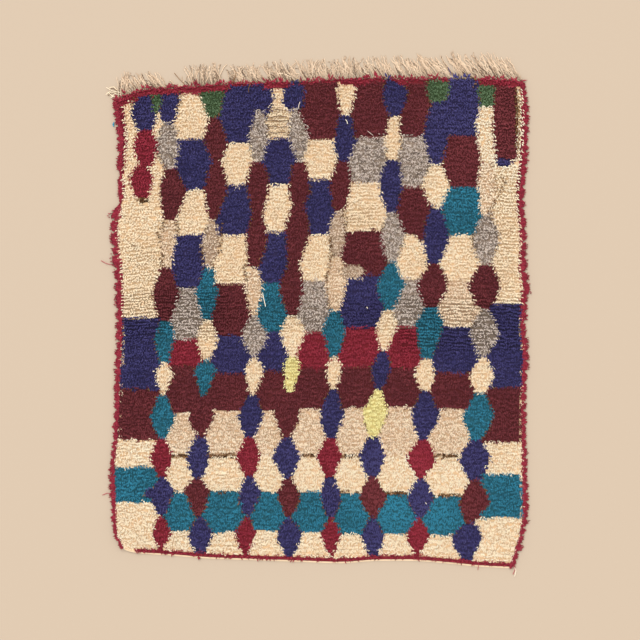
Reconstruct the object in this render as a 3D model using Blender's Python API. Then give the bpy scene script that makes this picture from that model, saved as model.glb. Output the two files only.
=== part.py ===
"""A hand-knotted wool rug in the azilal manner, lying flat, with its warp fringe towards +Y.

The tables are in millimetres from the middle of the knotted ground, and the meshes are in metres.
The underside lies on z = 0, and the whole rug is centred over the origin at the end.
"""

import math
import random
from collections import namedtuple

import bmesh
import bpy
from mathutils import Vector, noise

MM = 0.001
SEED = 11

# Uneven edges: the two sides run up +Y, the two ends run along +X
EdgeStation = namedtuple("EdgeStation", "along across")
LEFT_EDGE = (
    EdgeStation(along=-725, across=-657),
    EdgeStation(along=-690, across=-678),
    EdgeStation(along=-600, across=-685),
    EdgeStation(along=-484, across=-690),
    EdgeStation(along=-376, across=-678),
    EdgeStation(along=-236, across=-673),
    EdgeStation(along=-93, across=-664),
    EdgeStation(along=57, across=-667),
    EdgeStation(along=152, across=-671),
    EdgeStation(along=269, across=-688),
    EdgeStation(along=321, across=-690),
    EdgeStation(along=363, across=-680),
    EdgeStation(along=406, across=-661),
    EdgeStation(along=520, across=-664),
    EdgeStation(along=592, across=-662),
    EdgeStation(along=661, across=-671),
    EdgeStation(along=727, across=-685),
)
RIGHT_EDGE = (
    EdgeStation(along=-800, across=633),
    EdgeStation(along=-740, across=655),
    EdgeStation(along=-690, across=670),
    EdgeStation(along=-614, across=683),
    EdgeStation(along=-442, across=680),
    EdgeStation(along=-324, across=680),
    EdgeStation(along=-73, across=685),
    EdgeStation(along=-24, across=678),
    EdgeStation(along=57, across=685),
    EdgeStation(along=109, across=690),
    EdgeStation(along=171, across=677),
    EdgeStation(along=275, across=680),
    EdgeStation(along=422, across=668),
    EdgeStation(along=523, across=678),
    EdgeStation(along=624, across=685),
    EdgeStation(along=722, across=683),
    EdgeStation(along=791, across=673),
)
TOP_EDGE = (
    EdgeStation(along=-684, across=726),
    EdgeStation(along=-644, across=742),
    EdgeStation(along=-546, across=768),
    EdgeStation(along=-451, across=771),
    EdgeStation(along=-311, across=781),
    EdgeStation(along=-171, across=787),
    EdgeStation(along=-31, across=792),
    EdgeStation(along=119, across=800),
    EdgeStation(along=517, across=800),
    EdgeStation(along=673, across=791),
)
BOTTOM_EDGE = (
    EdgeStation(along=-657, across=-728),
    EdgeStation(along=-627, across=-745),
    EdgeStation(along=-585, across=-754),
    EdgeStation(along=-498, across=-760),
    EdgeStation(along=-357, across=-771),
    EdgeStation(along=-217, across=-776),
    EdgeStation(along=-77, across=-781),
    EdgeStation(along=69, across=-786),
    EdgeStation(along=194, across=-778),
    EdgeStation(along=288, across=-778),
    EdgeStation(along=419, across=-787),
    EdgeStation(along=517, across=-797),
    EdgeStation(along=633, across=-803),
)

# Ground: a flat-woven foundation, a few millimetres thick, under pile that lies over in soft rows
MESH_PITCH = 30
HEM_REACH = 5
HEM_THICKNESS = 3
RIM_HEIGHT = 6
PILE_HEIGHT = 12.5
LUMP_HEIGHT = 1.7
LUMP_LENGTH = 95
RUCK_HEIGHT = 0.8
RUCK_LENGTH = 42
RimLine = namedtuple("RimLine", "inset height")
SIDE_RIM = (
    RimLine(inset=0, height=RIM_HEIGHT),
    RimLine(inset=8, height=10.5),
    RimLine(inset=22, height=PILE_HEIGHT),
)
HEM_RIM = (
    RimLine(inset=0, height=HEM_THICKNESS),
    RimLine(inset=HEM_REACH, height=HEM_THICKNESS),
    RimLine(inset=HEM_REACH + 3, height=9),
    RimLine(inset=HEM_REACH + 16, height=PILE_HEIGHT),
)

# Curl: the lower left corner lifts off the floor, bent along a slanting line
CURL_RISE = 9
CURL_REACH = 85
CURL_FROM = Vector((-600, -668))
CURL_TOWARDS = Vector((-0.72, -0.69))

# Overcast sides: crimson wool in uneven blocks, wider where the binding has slipped outwards
PIECE_GAP = 0.4
BandStation = namedtuple("BandStation", "along width")
LEFT_BAND = (
    BandStation(along=-725, width=15),
    BandStation(along=-560, width=19),
    BandStation(along=-100, width=17),
    BandStation(along=150, width=18),
    BandStation(along=230, width=27),
    BandStation(along=350, width=27),
    BandStation(along=420, width=15),
    BandStation(along=727, width=17),
)
RIGHT_BAND = (
    BandStation(along=-800, width=15),
    BandStation(along=-640, width=18),
    BandStation(along=60, width=19),
    BandStation(along=110, width=24),
    BandStation(along=180, width=19),
    BandStation(along=791, width=16),
)
BAND_UPRIGHT = 6.5
BAND_SHOULDER = 5
CROWN_PLACE = 0.42
SHOULDER_PLACE = 0.86
CROWN_SWELL = 2.5
BLOCK_SPREAD = (0.66, 1.0)

# Fringe: cut warp ends that lie over to the left, longer towards the right
FringeStation = namedtuple("FringeStation", "along length lean")
FRINGE_LIE = (
    FringeStation(along=-684, length=40, lean=52),
    FringeStation(along=-655, length=55, lean=22),
    FringeStation(along=-630, length=66, lean=12),
    FringeStation(along=-595, length=50, lean=24),
    FringeStation(along=-550, length=48, lean=34),
    FringeStation(along=-470, length=43, lean=36),
    FringeStation(along=-420, length=42, lean=30),
    FringeStation(along=-380, length=58, lean=26),
    FringeStation(along=-300, length=60, lean=22),
    FringeStation(along=-240, length=62, lean=31),
    FringeStation(along=-120, length=68, lean=29),
    FringeStation(along=30, length=74, lean=22),
    FringeStation(along=180, length=74, lean=24),
    FringeStation(along=330, length=80, lean=33),
    FringeStation(along=600, length=86, lean=38),
    FringeStation(along=673, length=70, lean=40),
)
STRAND_COUNT = 185
STRAND_WIDTH = 2.5
STRAND_HEIGHT = 2.2
STRIP_DEPTH = 6
STRIP_GAP = 0.5
END_MARGIN = 4
ROOT_SPREAD = 0.1
LENGTH_SPREAD = 0.14
LEAN_SPREAD = 0.5
LEAN_SWAY = 4
SWAY_LENGTH = 120
StrandStep = namedtuple("StrandStep", "reach bend thickness")
STRAND_STEPS = (
    StrandStep(reach=0.35, bend=-4, thickness=0.95),
    StrandStep(reach=0.35, bend=3, thickness=0.85),
    StrandStep(reach=0.30, bend=9, thickness=0.45),
)

Finish = namedtuple("Finish", "name colour roughness")
PILE_WOOL = Finish(name="pile_wool", colour=(0.80, 0.61, 0.38), roughness=0.9)
BINDING_WOOL = Finish(name="binding_wool", colour=(0.26, 0.018, 0.035), roughness=0.85)
WARP_WOOL = Finish(name="warp_wool", colour=(0.68, 0.50, 0.34), roughness=0.9)


def smooth_value(stations, along, column):
    """A column of a table at a place along it, on a smooth curve that doesn't overshoot its rows."""
    places = [station.along for station in stations]
    values = [getattr(station, column) for station in stations]
    along = min(max(along, places[0]), places[-1])
    step = next(i for i in range(len(places) - 1) if along <= places[i + 1])
    runs = [b - a for a, b in zip(places, places[1:])]
    slopes = [(b - a) / run for a, b, run in zip(values, values[1:], runs)]

    def slope_at(row):
        if row in (0, len(places) - 1):
            return slopes[min(row, len(slopes) - 1)]
        before, after = slopes[row - 1], slopes[row]
        return 0.0 if before * after <= 0 else 2 * before * after / (before + after)

    t = (along - places[step]) / runs[step]
    start, end = slope_at(step) * runs[step], slope_at(step + 1) * runs[step]
    return (
        (2 * t**3 - 3 * t**2 + 1) * values[step]
        + (t**3 - 2 * t**2 + t) * start
        + (3 * t**2 - 2 * t**3) * values[step + 1]
        + (t**3 - t**2) * end
    )


def left_rim(along):
    """The ground's own left rim, inside the overcast band."""
    return smooth_value(LEFT_EDGE, along, "across") + smooth_value(LEFT_BAND, along, "width")


def right_rim(along):
    """The ground's own right rim, inside the overcast band."""
    return smooth_value(RIGHT_EDGE, along, "across") - smooth_value(RIGHT_BAND, along, "width")


def corner(side_rim, end_edge, start_along):
    """Where a side rim meets an end, found by going round the two curves until they agree."""
    along = start_along
    for _ in range(40):
        across = side_rim(along)
        along = smooth_value(end_edge, across, "across")
    return Vector((across, along))


def mesh_lines(length, near_rim, far_rim):
    """Fractions of a length at which the ground has mesh lines: at each rim line, then evenly between."""
    near = [line.inset for line in near_rim]
    far = [length - line.inset for line in reversed(far_rim)]
    steps = max(2, round((far[0] - near[-1]) / MESH_PITCH))
    middle = [near[-1] + (far[0] - near[-1]) * step / steps for step in range(1, steps)]
    return [place / length for place in near + middle + far]


def curl_rise(x, y):
    """How far the curled corner has lifted at a place, nought on the floor."""
    beyond = (Vector((x, y)) - CURL_FROM).dot(CURL_TOWARDS)
    return CURL_RISE * (max(0.0, beyond) / CURL_REACH) ** 2


def lumps(x, y):
    """Soft unevenness of the pile, in long lumps with shorter rucks on them."""
    long_lump = noise.noise(Vector((x / LUMP_LENGTH, y / LUMP_LENGTH, SEED)))
    short_ruck = noise.noise(Vector((x / RUCK_LENGTH, y / RUCK_LENGTH, 2 * SEED)))
    return LUMP_HEIGHT * long_lump + RUCK_HEIGHT * short_ruck


def rim_height(line, last_line, near_rim, far_rim):
    """Pile height on a mesh line, stepping up from either rim to the full pile."""
    if line < len(near_rim):
        return near_rim[line].height
    if last_line - line < len(far_rim):
        return far_rim[last_line - line].height
    return PILE_HEIGHT


def blend(a, b, t):
    """The place a fraction t of the way from a to b."""
    return a + (b - a) * t


class Ground:
    """The ground's four rims as equally divided polylines, which the side bands and the fringe follow."""

    def __init__(self):
        low_left = corner(left_rim, BOTTOM_EDGE, LEFT_EDGE[0].along)
        low_right = corner(right_rim, BOTTOM_EDGE, RIGHT_EDGE[0].along)
        high_left = corner(left_rim, TOP_EDGE, LEFT_EDGE[-1].along)
        high_right = corner(right_rim, TOP_EDGE, RIGHT_EDGE[-1].along)
        self.columns = mesh_lines(low_right.x - low_left.x, SIDE_RIM, SIDE_RIM)
        self.rows = mesh_lines(high_right.y - low_right.y, HEM_RIM, SIDE_RIM)
        self.left = [self.side_point(left_rim, low_left, high_left, v) for v in self.rows]
        self.right = [self.side_point(right_rim, low_right, high_right, v) for v in self.rows]
        self.bottom = [self.end_point(BOTTOM_EDGE, low_left, low_right, u) for u in self.columns]
        self.top = [self.end_point(TOP_EDGE, high_left, high_right, u) for u in self.columns]

    @staticmethod
    def side_point(rim, low, high, v):
        """A place on a side rim, at a fraction of the way up."""
        along = blend(low.y, high.y, v)
        return Vector((rim(along), along))

    @staticmethod
    def end_point(edge, left, right, u):
        """A place on an end, at a fraction of the way across."""
        across = blend(left.x, right.x, u)
        return Vector((across, smooth_value(edge, across, "across")))

    def place(self, column, row):
        """The place of a mesh point, drawn between all four rims."""
        u, v = self.columns[column], self.rows[row]
        between_sides = blend(self.left[row], self.right[row], u)
        between_ends = blend(self.bottom[column], self.top[column], v)
        low = blend(self.bottom[0], self.bottom[-1], u)
        high = blend(self.top[0], self.top[-1], u)
        return between_sides + between_ends - blend(low, high, v)

    def height(self, column, row, at):
        """Pile height over the floor at a mesh point."""
        last_column, last_row = len(self.columns) - 1, len(self.rows) - 1
        side = rim_height(column, last_column, SIDE_RIM, SIDE_RIM)
        end = rim_height(row, last_row, HEM_RIM, SIDE_RIM)
        full = min(side, end)
        unevenness = lumps(at.x, at.y) * max(0.0, full - RIM_HEIGHT) / (PILE_HEIGHT - RIM_HEIGHT)
        return full + unevenness + curl_rise(at.x, at.y)


def draw_out(bm, ring, sections):
    """Walls from a ring of vertices through more sections of as many corners, with a cap on the last."""
    for section in sections:
        after = [bm.verts.new(at) for at in section]
        for here in range(len(ring)):
            beyond = (here + 1) % len(ring)
            bm.faces.new((ring[here], ring[beyond], after[beyond], after[here]))
        ring = after
    bm.faces.new(ring)


def finish_object(name, bm, finish):
    """Turn a bmesh in millimetres into a named object in metres with its own material."""
    bmesh.ops.recalc_face_normals(bm, faces=bm.faces)
    bmesh.ops.scale(bm, vec=(MM, MM, MM), verts=bm.verts)
    mesh = bpy.data.meshes.new(name)
    bm.to_mesh(mesh)
    bm.free()
    mesh.shade_smooth()
    material = bpy.data.materials.new(f"{name}_{finish.name}")
    material.use_nodes = True
    shader = material.node_tree.nodes["Principled BSDF"]
    shader.inputs["Base Color"].default_value = (*finish.colour, 1.0)
    shader.inputs["Roughness"].default_value = finish.roughness
    shader.inputs["Metallic"].default_value = 0.0
    mesh.materials.append(material)
    built = bpy.data.objects.new(name, mesh)
    bpy.context.scene.collection.objects.link(built)
    return built


def is_bend(loop):
    """Whether the sole's outline leaves the floor at this corner of it, into the curl."""
    neighbours = (loop.link_loop_next.vert, loop.link_loop_prev.vert)
    return loop.vert.co.z == 0 and any(vertex.co.z > 0 for vertex in neighbours)


def rug_body(ground):
    """The ground and its pile: a grid drawn to the outline, walls down to the floor and a flat underside."""
    bm = bmesh.new()
    last_column, last_row = len(ground.columns) - 1, len(ground.rows) - 1
    bmesh.ops.create_grid(bm, x_segments=last_column, y_segments=last_row, size=0.5)
    for vertex in bm.verts:
        column = round((vertex.co.x + 0.5) * last_column)
        row = round((vertex.co.y + 0.5) * last_row)
        at = ground.place(column, row)
        vertex.co = (at.x, at.y, ground.height(column, row, at))

    rim_edges = [edge for edge in bm.edges if edge.is_boundary]
    walls = bmesh.ops.extrude_edge_only(bm, edges=rim_edges)["geom"]
    feet = [item for item in walls if isinstance(item, bmesh.types.BMVert)]
    for vertex in feet:
        vertex.co.z = curl_rise(vertex.co.x, vertex.co.y)
    foot_edges = [edge for edge in bm.edges if edge.is_boundary]
    sole = bmesh.ops.edgeloop_fill(bm, edges=foot_edges)["faces"][0]
    bend = [loop.vert for loop in sole.loops if is_bend(loop)]
    lifted = bmesh.utils.face_split(sole, bend[0], bend[1])[0]
    bmesh.ops.triangulate(bm, faces=[sole, lifted])
    return finish_object("rug_body", bm, PILE_WOOL)


def band_section(rim_at, outwards, width, spread):
    """One section of an overcast side: upright against the ground, round on its outer side."""
    inner = rim_at.x + outwards * PIECE_GAP
    reach = width * spread - PIECE_GAP
    rise = curl_rise(rim_at.x, rim_at.y)
    outline = (
        (0.0, 0.0),
        (0.0, BAND_UPRIGHT),
        (CROWN_PLACE * reach, BAND_UPRIGHT + CROWN_SWELL * spread),
        (SHOULDER_PLACE * reach, BAND_SHOULDER),
        (reach, 0.0),
    )
    return [Vector((inner + outwards * out, rim_at.y, rise + up)) for out, up in outline]


def selvedge(name, rim, outwards, bands, chance):
    """Overcast wool along one side, as blocks that swell and draw in, one after another."""
    sections = []
    for low, high in zip(rim, rim[1:]):
        halfway = blend(low, high, 0.5)
        for at in (low, halfway) if high.y - low.y > 0.6 * MESH_PITCH else (low,):
            width = smooth_value(bands, at.y, "width")
            sections.append(band_section(at, outwards, width, chance.uniform(*BLOCK_SPREAD)))
    last_width = smooth_value(bands, rim[-1].y, "width")
    sections.append(band_section(rim[-1], outwards, last_width, BLOCK_SPREAD[0]))

    bm = bmesh.new()
    ring = [bm.verts.new(at) for at in sections[0]]
    bm.faces.new(ring)
    draw_out(bm, ring, sections[1:])
    return finish_object(name, bm, BINDING_WOOL)


def strand_sections(root_at, length, lean):
    """A strand's sections past its root: two feet level on the floor and a crown over them."""
    sections = []
    middle = root_at
    heading = math.radians(lean)
    for step in STRAND_STEPS:
        heading += math.radians(step.bend)
        middle = middle + Vector((-math.sin(heading), math.cos(heading), 0.0)) * length * step.reach
        beside = Vector((math.cos(heading), math.sin(heading), 0.0)) * STRAND_WIDTH * step.thickness / 2
        crown = middle + Vector((0.0, 0.0, STRAND_HEIGHT * step.thickness))
        sections.append([middle - beside, middle + beside, crown])
    return sections


def fringe(rim, chance):
    """A narrow strip along the top end with a root for each warp end, and the ends drawn out of it."""
    bm = bmesh.new()
    pitch = (rim[-1].x - rim[0].x - 2 * END_MARGIN) / STRAND_COUNT
    roots = []
    for number in range(STRAND_COUNT):
        x = rim[0].x + END_MARGIN + pitch * (number + 0.5 + chance.uniform(-ROOT_SPREAD, ROOT_SPREAD))
        side = next(i for i in range(len(rim) - 1) if x <= rim[i + 1].x)
        share = (x - rim[side].x) / (rim[side + 1].x - rim[side].x)
        back_y = blend(rim[side].y, rim[side + 1].y, share) + STRIP_GAP
        front_y = back_y + STRIP_DEPTH
        half = STRAND_WIDTH / 2
        roots.append({
            "at": Vector((x, front_y, 0.0)),
            "back_foot": bm.verts.new((x, back_y, 0.0)),
            "back_top": bm.verts.new((x, back_y, STRAND_HEIGHT)),
            "left": bm.verts.new((x - half, front_y, 0.0)),
            "right": bm.verts.new((x + half, front_y, 0.0)),
            "crown": bm.verts.new((x, front_y, STRAND_HEIGHT)),
        })
    for here in roots:
        bm.faces.new((here["back_foot"], here["right"], here["left"]))
    for here, after in zip(roots, roots[1:]):
        bm.faces.new((here["right"], after["left"], after["crown"], here["crown"]))
        bm.faces.new((here["crown"], after["crown"], after["back_top"], here["back_top"]))
        bm.faces.new((here["back_top"], after["back_top"], after["back_foot"], here["back_foot"]))
        bm.faces.new((here["back_foot"], after["back_foot"], after["left"], here["right"]))
    first, last = roots[0], roots[-1]
    bm.faces.new((first["left"], first["crown"], first["back_top"], first["back_foot"]))
    bm.faces.new((last["right"], last["back_foot"], last["back_top"], last["crown"]))

    for here in roots:
        x = here["at"].x
        sway = LEAN_SWAY * noise.noise(Vector((x / SWAY_LENGTH, 3 * SEED, 0.0)))
        lean = smooth_value(FRINGE_LIE, x, "lean") + sway + chance.uniform(-LEAN_SPREAD, LEAN_SPREAD)
        length = smooth_value(FRINGE_LIE, x, "length") * (1 + chance.uniform(-LENGTH_SPREAD, LENGTH_SPREAD))
        draw_out(bm, [here["left"], here["right"], here["crown"]], strand_sections(here["at"], length, lean))
    return finish_object("fringe", bm, WARP_WOOL)


def centre_over_origin(pieces):
    """Move every mesh so that the whole rug's box stands centred over the origin, on z = 0."""
    corners = [vertex.co for piece in pieces for vertex in piece.data.vertices]
    low = Vector([min(co[axis] for co in corners) for axis in range(3)])
    high = Vector([max(co[axis] for co in corners) for axis in range(3)])
    shift = Vector((-(low.x + high.x) / 2, -(low.y + high.y) / 2, 0.0))
    for piece in pieces:
        for vertex in piece.data.vertices:
            vertex.co += shift


def main():
    for old in list(bpy.data.objects):
        bpy.data.objects.remove(old, do_unlink=True)
    chance = random.Random(SEED)
    ground = Ground()
    pieces = [
        rug_body(ground),
        selvedge("selvedge_left", ground.left, -1, LEFT_BAND, chance),
        selvedge("selvedge_right", ground.right, 1, RIGHT_BAND, chance),
        fringe(ground.top, chance),
    ]
    centre_over_origin(pieces)


main()
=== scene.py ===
"""Azilal rug: wool pile knotted in lozenges on a woven ground, with overcast sides and a warp fringe.

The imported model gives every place. Charts are in squares of squared paper, and other sizes are in metres.
"""

import math
from collections import namedtuple

import bmesh
import bpy
import numpy as np
from bpy.props import FloatProperty, FloatVectorProperty, IntProperty, PointerProperty
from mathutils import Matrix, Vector
from mathutils.bvhtree import BVHTree


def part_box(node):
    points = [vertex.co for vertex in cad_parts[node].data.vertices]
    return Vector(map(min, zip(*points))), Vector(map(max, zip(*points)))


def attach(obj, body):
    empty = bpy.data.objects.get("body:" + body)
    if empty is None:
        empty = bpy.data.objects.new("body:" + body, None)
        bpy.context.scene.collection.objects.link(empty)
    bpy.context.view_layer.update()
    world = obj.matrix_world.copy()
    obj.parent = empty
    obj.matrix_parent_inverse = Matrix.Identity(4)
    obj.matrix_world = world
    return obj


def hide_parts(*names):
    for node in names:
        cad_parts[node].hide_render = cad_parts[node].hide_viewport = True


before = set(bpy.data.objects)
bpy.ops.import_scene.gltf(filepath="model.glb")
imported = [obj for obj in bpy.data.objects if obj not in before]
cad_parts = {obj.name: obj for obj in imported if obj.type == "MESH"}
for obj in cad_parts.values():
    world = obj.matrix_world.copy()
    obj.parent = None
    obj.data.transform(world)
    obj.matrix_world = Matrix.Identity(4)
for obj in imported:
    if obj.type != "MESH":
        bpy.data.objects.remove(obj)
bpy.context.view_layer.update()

bl_info = {
    "name": "Azilal rug",
    "version": (1, 0, 0),
    "blender": (4, 5, 0),
    "location": "3D View > Sidebar > Rug",
    "description": "Knots the pile, binds the sides and ties the fringe of a lozenge rug",
    "category": "Add Mesh",
}

MM = 0.001
UP = np.array((0.0, 0.0, 1.0))
BAKE_MAP = "OFBake"
CHART_COLOUR = "chart_colour"

# The chart's paper: squares of about a third of a row, counted rightwards and downwards from a corner
# off the rug, and where the rug's right side and lower end were when it was drawn
SQUARE = 3.26 * MM
MIDDLE_SQUARE = (319.5, 322.5)
SIDE_HIGH = 690 * MM
GROUND_LOW = -803 * MM

# Each wool's lightest, plain and deepest colour, how far its yarns differ in shade, how loosely they lie,
# how far they fan out over other wools, and how light their roots are: painted shade deep in the pile
Wool = namedtuple("Wool", "light plain deep spread loose fan roots")
WOOLS = {
    "ivory": Wool((255, 246, 224), (255, 235, 203), (240, 203, 162), 0.14, 1.3, 0.4, 0.66),
    "oatmeal": Wool((255, 243, 220), (253, 228, 198), (200, 164, 132), 0.22, 1.3, 0.55, 0.42),
    # Grey's yarns reach a deep colour: partly its own dark fibres, partly painted shade of the gaps between
    # them
    "grey": Wool((226, 211, 201), (212, 197, 185), (84, 70, 63), 0.37, 1.6, 0.65, 0.45),
    "tan": Wool((240, 221, 200), (226, 202, 178), (146, 120, 99), 0.26, 1.4, 0.65, 0.5),
    "navy": Wool((82, 78, 129), (61, 58, 106), (44, 41, 80), 0.2, 1.0, 0.15, 0.82),
    "oxblood": Wool((130, 62, 67), (107, 48, 54), (82, 35, 41), 0.2, 1.0, 0.15, 0.82),
    "crimson": Wool((172, 62, 78), (146, 46, 62), (114, 36, 48), 0.2, 1.0, 0.3, 0.8),
    "teal": Wool((56, 142, 172), (50, 115, 138), (34, 88, 108), 0.24, 1.0, 0.15, 0.78),
    "green": Wool((106, 130, 98), (84, 109, 77), (56, 78, 52), 0.26, 1.0, 0.3, 0.78),
    "lime": Wool((255, 250, 190), (250, 240, 172), (220, 208, 136), 0.16, 1.0, 0.45, 0.7),
    "brown": Wool((142, 104, 68), (106, 76, 50), (66, 48, 36), 0.24, 1.1, 0.4, 0.7),
}
WOOL_ORDER = list(WOOLS)
BROWN, CRIMSON, IVORY = (WOOL_ORDER.index(name) for name in ("brown", "crimson", "ivory"))

# Narrow columns: lozenges one under another, each widest at its belly and drawn in to a neck at both ends.
# The higher SWELL is, the fuller their sides are
Lozenge = namedtuple("Lozenge", "wool top bottom centre half belly neck", defaults=(0.5, 4))
NARROW_COLUMNS = (
    (
        Lozenge("navy", 70, 124, 169, 10, belly=0.5, neck=5),
        Lozenge("grey", 124, 168, 167.5, 12, neck=6.5),
        Lozenge("oxblood", 168, 221, 173, 13, belly=0.44, neck=5),
        Lozenge("oatmeal", 221, 268, 168, 8.5, belly=0.35, neck=5),
        Lozenge("oxblood", 268, 321, 165.5, 12.5, neck=5),
        Lozenge("teal", 321, 363, 164, 10, belly=0.45),
        Lozenge("ivory", 363, 395, 164, 9.5, belly=0.33, neck=2.5),
        Lozenge("teal", 395, 439, 162, 12, neck=3),
        Lozenge("crimson", 439, 478, 161, 11, neck=3),
        Lozenge("navy", 478, 516, 162, 12, belly=0.4, neck=3),
        Lozenge("crimson", 516, 552, 161, 9.5, belly=0.5, neck=1.5),
    ),
    (
        Lozenge("green", 66, 117, 212, 11.5, belly=0.58, neck=6),
        Lozenge("oxblood", 117, 160, 216, 11.5, belly=0.62, neck=4.5),
        Lozenge("oxblood", 160, 220, 216, 11.5, belly=0.45, neck=3.5),
        Lozenge("tan", 220, 268, 210, 9.5),
        Lozenge("teal", 268, 320, 207, 10.5, neck=3.5),
        Lozenge("ivory", 320, 361, 208, 10.8, neck=3.5),
        Lozenge("teal", 361, 396, 205, 10.5, belly=0.27, neck=3),
        Lozenge("oxblood", 396, 438, 202, 12, neck=2),
        Lozenge("navy", 438, 478, 198, 11),
        Lozenge("oxblood", 478, 517, 197, 12.5, belly=0.37, neck=2.5),
        Lozenge("navy", 517, 559, 200, 12, belly=0.42, neck=2),
    ),
    (
        Lozenge("navy", 62, 119, 260.5, 12, belly=0.7, neck=6),
        Lozenge("grey", 110, 164, 258.5, 11, belly=0.5, neck=4),
        Lozenge("oxblood", 163, 212, 258, 11, belly=0.35, neck=6),
        Lozenge("oxblood", 212, 268, 256.5, 10.8, belly=0.5),
        Lozenge("oatmeal", 268, 316, 253, 10, belly=0.4, neck=3.5),
        Lozenge("grey", 316, 357, 254.5, 14.3, neck=3.5),
        Lozenge("ivory", 357, 394, 254, 9.8, belly=0.4, neck=3),
        Lozenge("navy", 394, 438, 251, 11.5, neck=3.5),
        Lozenge("crimson", 438, 478, 248, 12, neck=3),
        Lozenge("navy", 478, 517, 250, 11, belly=0.4, neck=3),
        Lozenge("crimson", 517, 557, 245, 10.5, belly=0.42, neck=1.5),
    ),
    (
        Lozenge("navy", 68, 111, 294, 11, belly=0.8, neck=6),
        Lozenge("grey", 108, 163, 299, 11, belly=0.5, neck=3.5),
        Lozenge("oxblood", 163, 205, 299.5, 10.5, belly=0.7, neck=6),
        Lozenge("oxblood", 205, 262, 297.5, 12.7, belly=0.48, neck=6),
        Lozenge("oxblood", 262, 316, 290.5, 11.5, belly=0.45, neck=4.5),
        Lozenge("ivory", 316, 357, 292.5, 13, belly=0.4, neck=4),
        Lozenge("lime", 357, 392, 292, 8.5, belly=0.3),
        Lozenge("oxblood", 392, 438, 287, 12, neck=3),
        Lozenge("navy", 438, 478, 286, 13, neck=3),
        Lozenge("oxblood", 478, 517, 289, 11, neck=3),
        Lozenge("navy", 517, 560, 289, 12.5, belly=0.42, neck=2),
    ),
    (
        Lozenge("ivory", 74, 115, 346, 10.5, belly=0.4),
        Lozenge("navy", 115, 160, 345, 10.5, belly=0.55, neck=5),
        Lozenge("oxblood", 160, 212, 340, 10, neck=5),
        Lozenge("tan", 212, 258, 337, 10),
        Lozenge("oatmeal", 258, 311, 337, 11.5, belly=0.42, neck=5),
        Lozenge("teal", 311, 357, 334.5, 11, belly=0.45, neck=3.5),
        Lozenge("ivory", 357, 390, 334, 8, belly=0.4, neck=3),
        Lozenge("navy", 390, 438, 332, 11.5, neck=3.5),
        Lozenge("crimson", 438, 478, 329, 11.5, neck=3.5),
        Lozenge("navy", 478, 518, 331, 10.5, neck=3.5),
        Lozenge("crimson", 518, 558, 331, 10, belly=0.42, neck=1.5),
    ),
    (
        Lozenge("navy", 68, 117, 395, 12.5, belly=0.55, neck=5),
        Lozenge("ivory", 117, 160, 393, 8, neck=5),
        Lozenge("navy", 160, 212, 391, 11, neck=5),
        Lozenge("grey", 212, 262, 393, 12.5, neck=5),
        Lozenge("teal", 262, 310, 390, 13, neck=3.5),
        Lozenge("ivory", 310, 351, 386.5, 11, belly=0.4, neck=3),
        Lozenge("navy", 351, 390, 381.2, 9.8, belly=0.5, neck=3),
        Lozenge("lime", 390, 437, 375, 12.5, neck=3.5),
        Lozenge("navy", 437, 478, 372, 12.5),
        Lozenge("oxblood", 478, 518, 373, 13.5, neck=3),
        Lozenge("navy", 518, 560, 373, 11.5, belly=0.42, neck=2),
    ),
    (
        Lozenge("green", 66, 101, 438, 11.5, belly=0.68, neck=8),
        Lozenge("navy", 101, 164, 437, 13, neck=5),
        Lozenge("ivory", 164, 208, 436, 14, neck=5),
        Lozenge("navy", 208, 264, 436, 13, neck=5),
        Lozenge("oxblood", 264, 308, 433, 14.5, neck=5),
        Lozenge("teal", 308, 359, 430, 13.5, belly=0.35, neck=5),
        Lozenge("ivory", 359, 392, 425, 11),
        Lozenge("navy", 392, 439, 426, 14, neck=3.5),
        Lozenge("crimson", 439, 479, 421, 14.5, neck=3),
        Lozenge("navy", 479, 519, 421, 13, neck=3),
        Lozenge("crimson", 519, 557, 417.5, 12, belly=0.42, neck=1.5),
    ),
    (
        Lozenge("green", 66, 106, 487, 9.5, belly=0.7, neck=7),
        Lozenge("ivory", 106, 163, 485, 9.5, belly=0.3, neck=6),
        Lozenge("oatmeal", 163, 215, 487, 9.5, neck=6),
        Lozenge("grey", 215, 264, 486, 14.5, neck=5),
        Lozenge("oxblood", 264, 309, 485, 15.5, neck=5),
        Lozenge("grey", 309, 359, 485, 16),
        Lozenge("ivory", 359, 394, 482, 13, neck=5),
        Lozenge("teal", 394, 440, 479, 15, neck=5),
        Lozenge("navy", 440, 481, 475, 15, neck=5),
        Lozenge("oxblood", 481, 523, 475, 15.5),
        Lozenge("navy", 523, 563, 466.5, 15, belly=0.36, neck=3.5),
    ),
)
SWELL = 1.25

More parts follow.
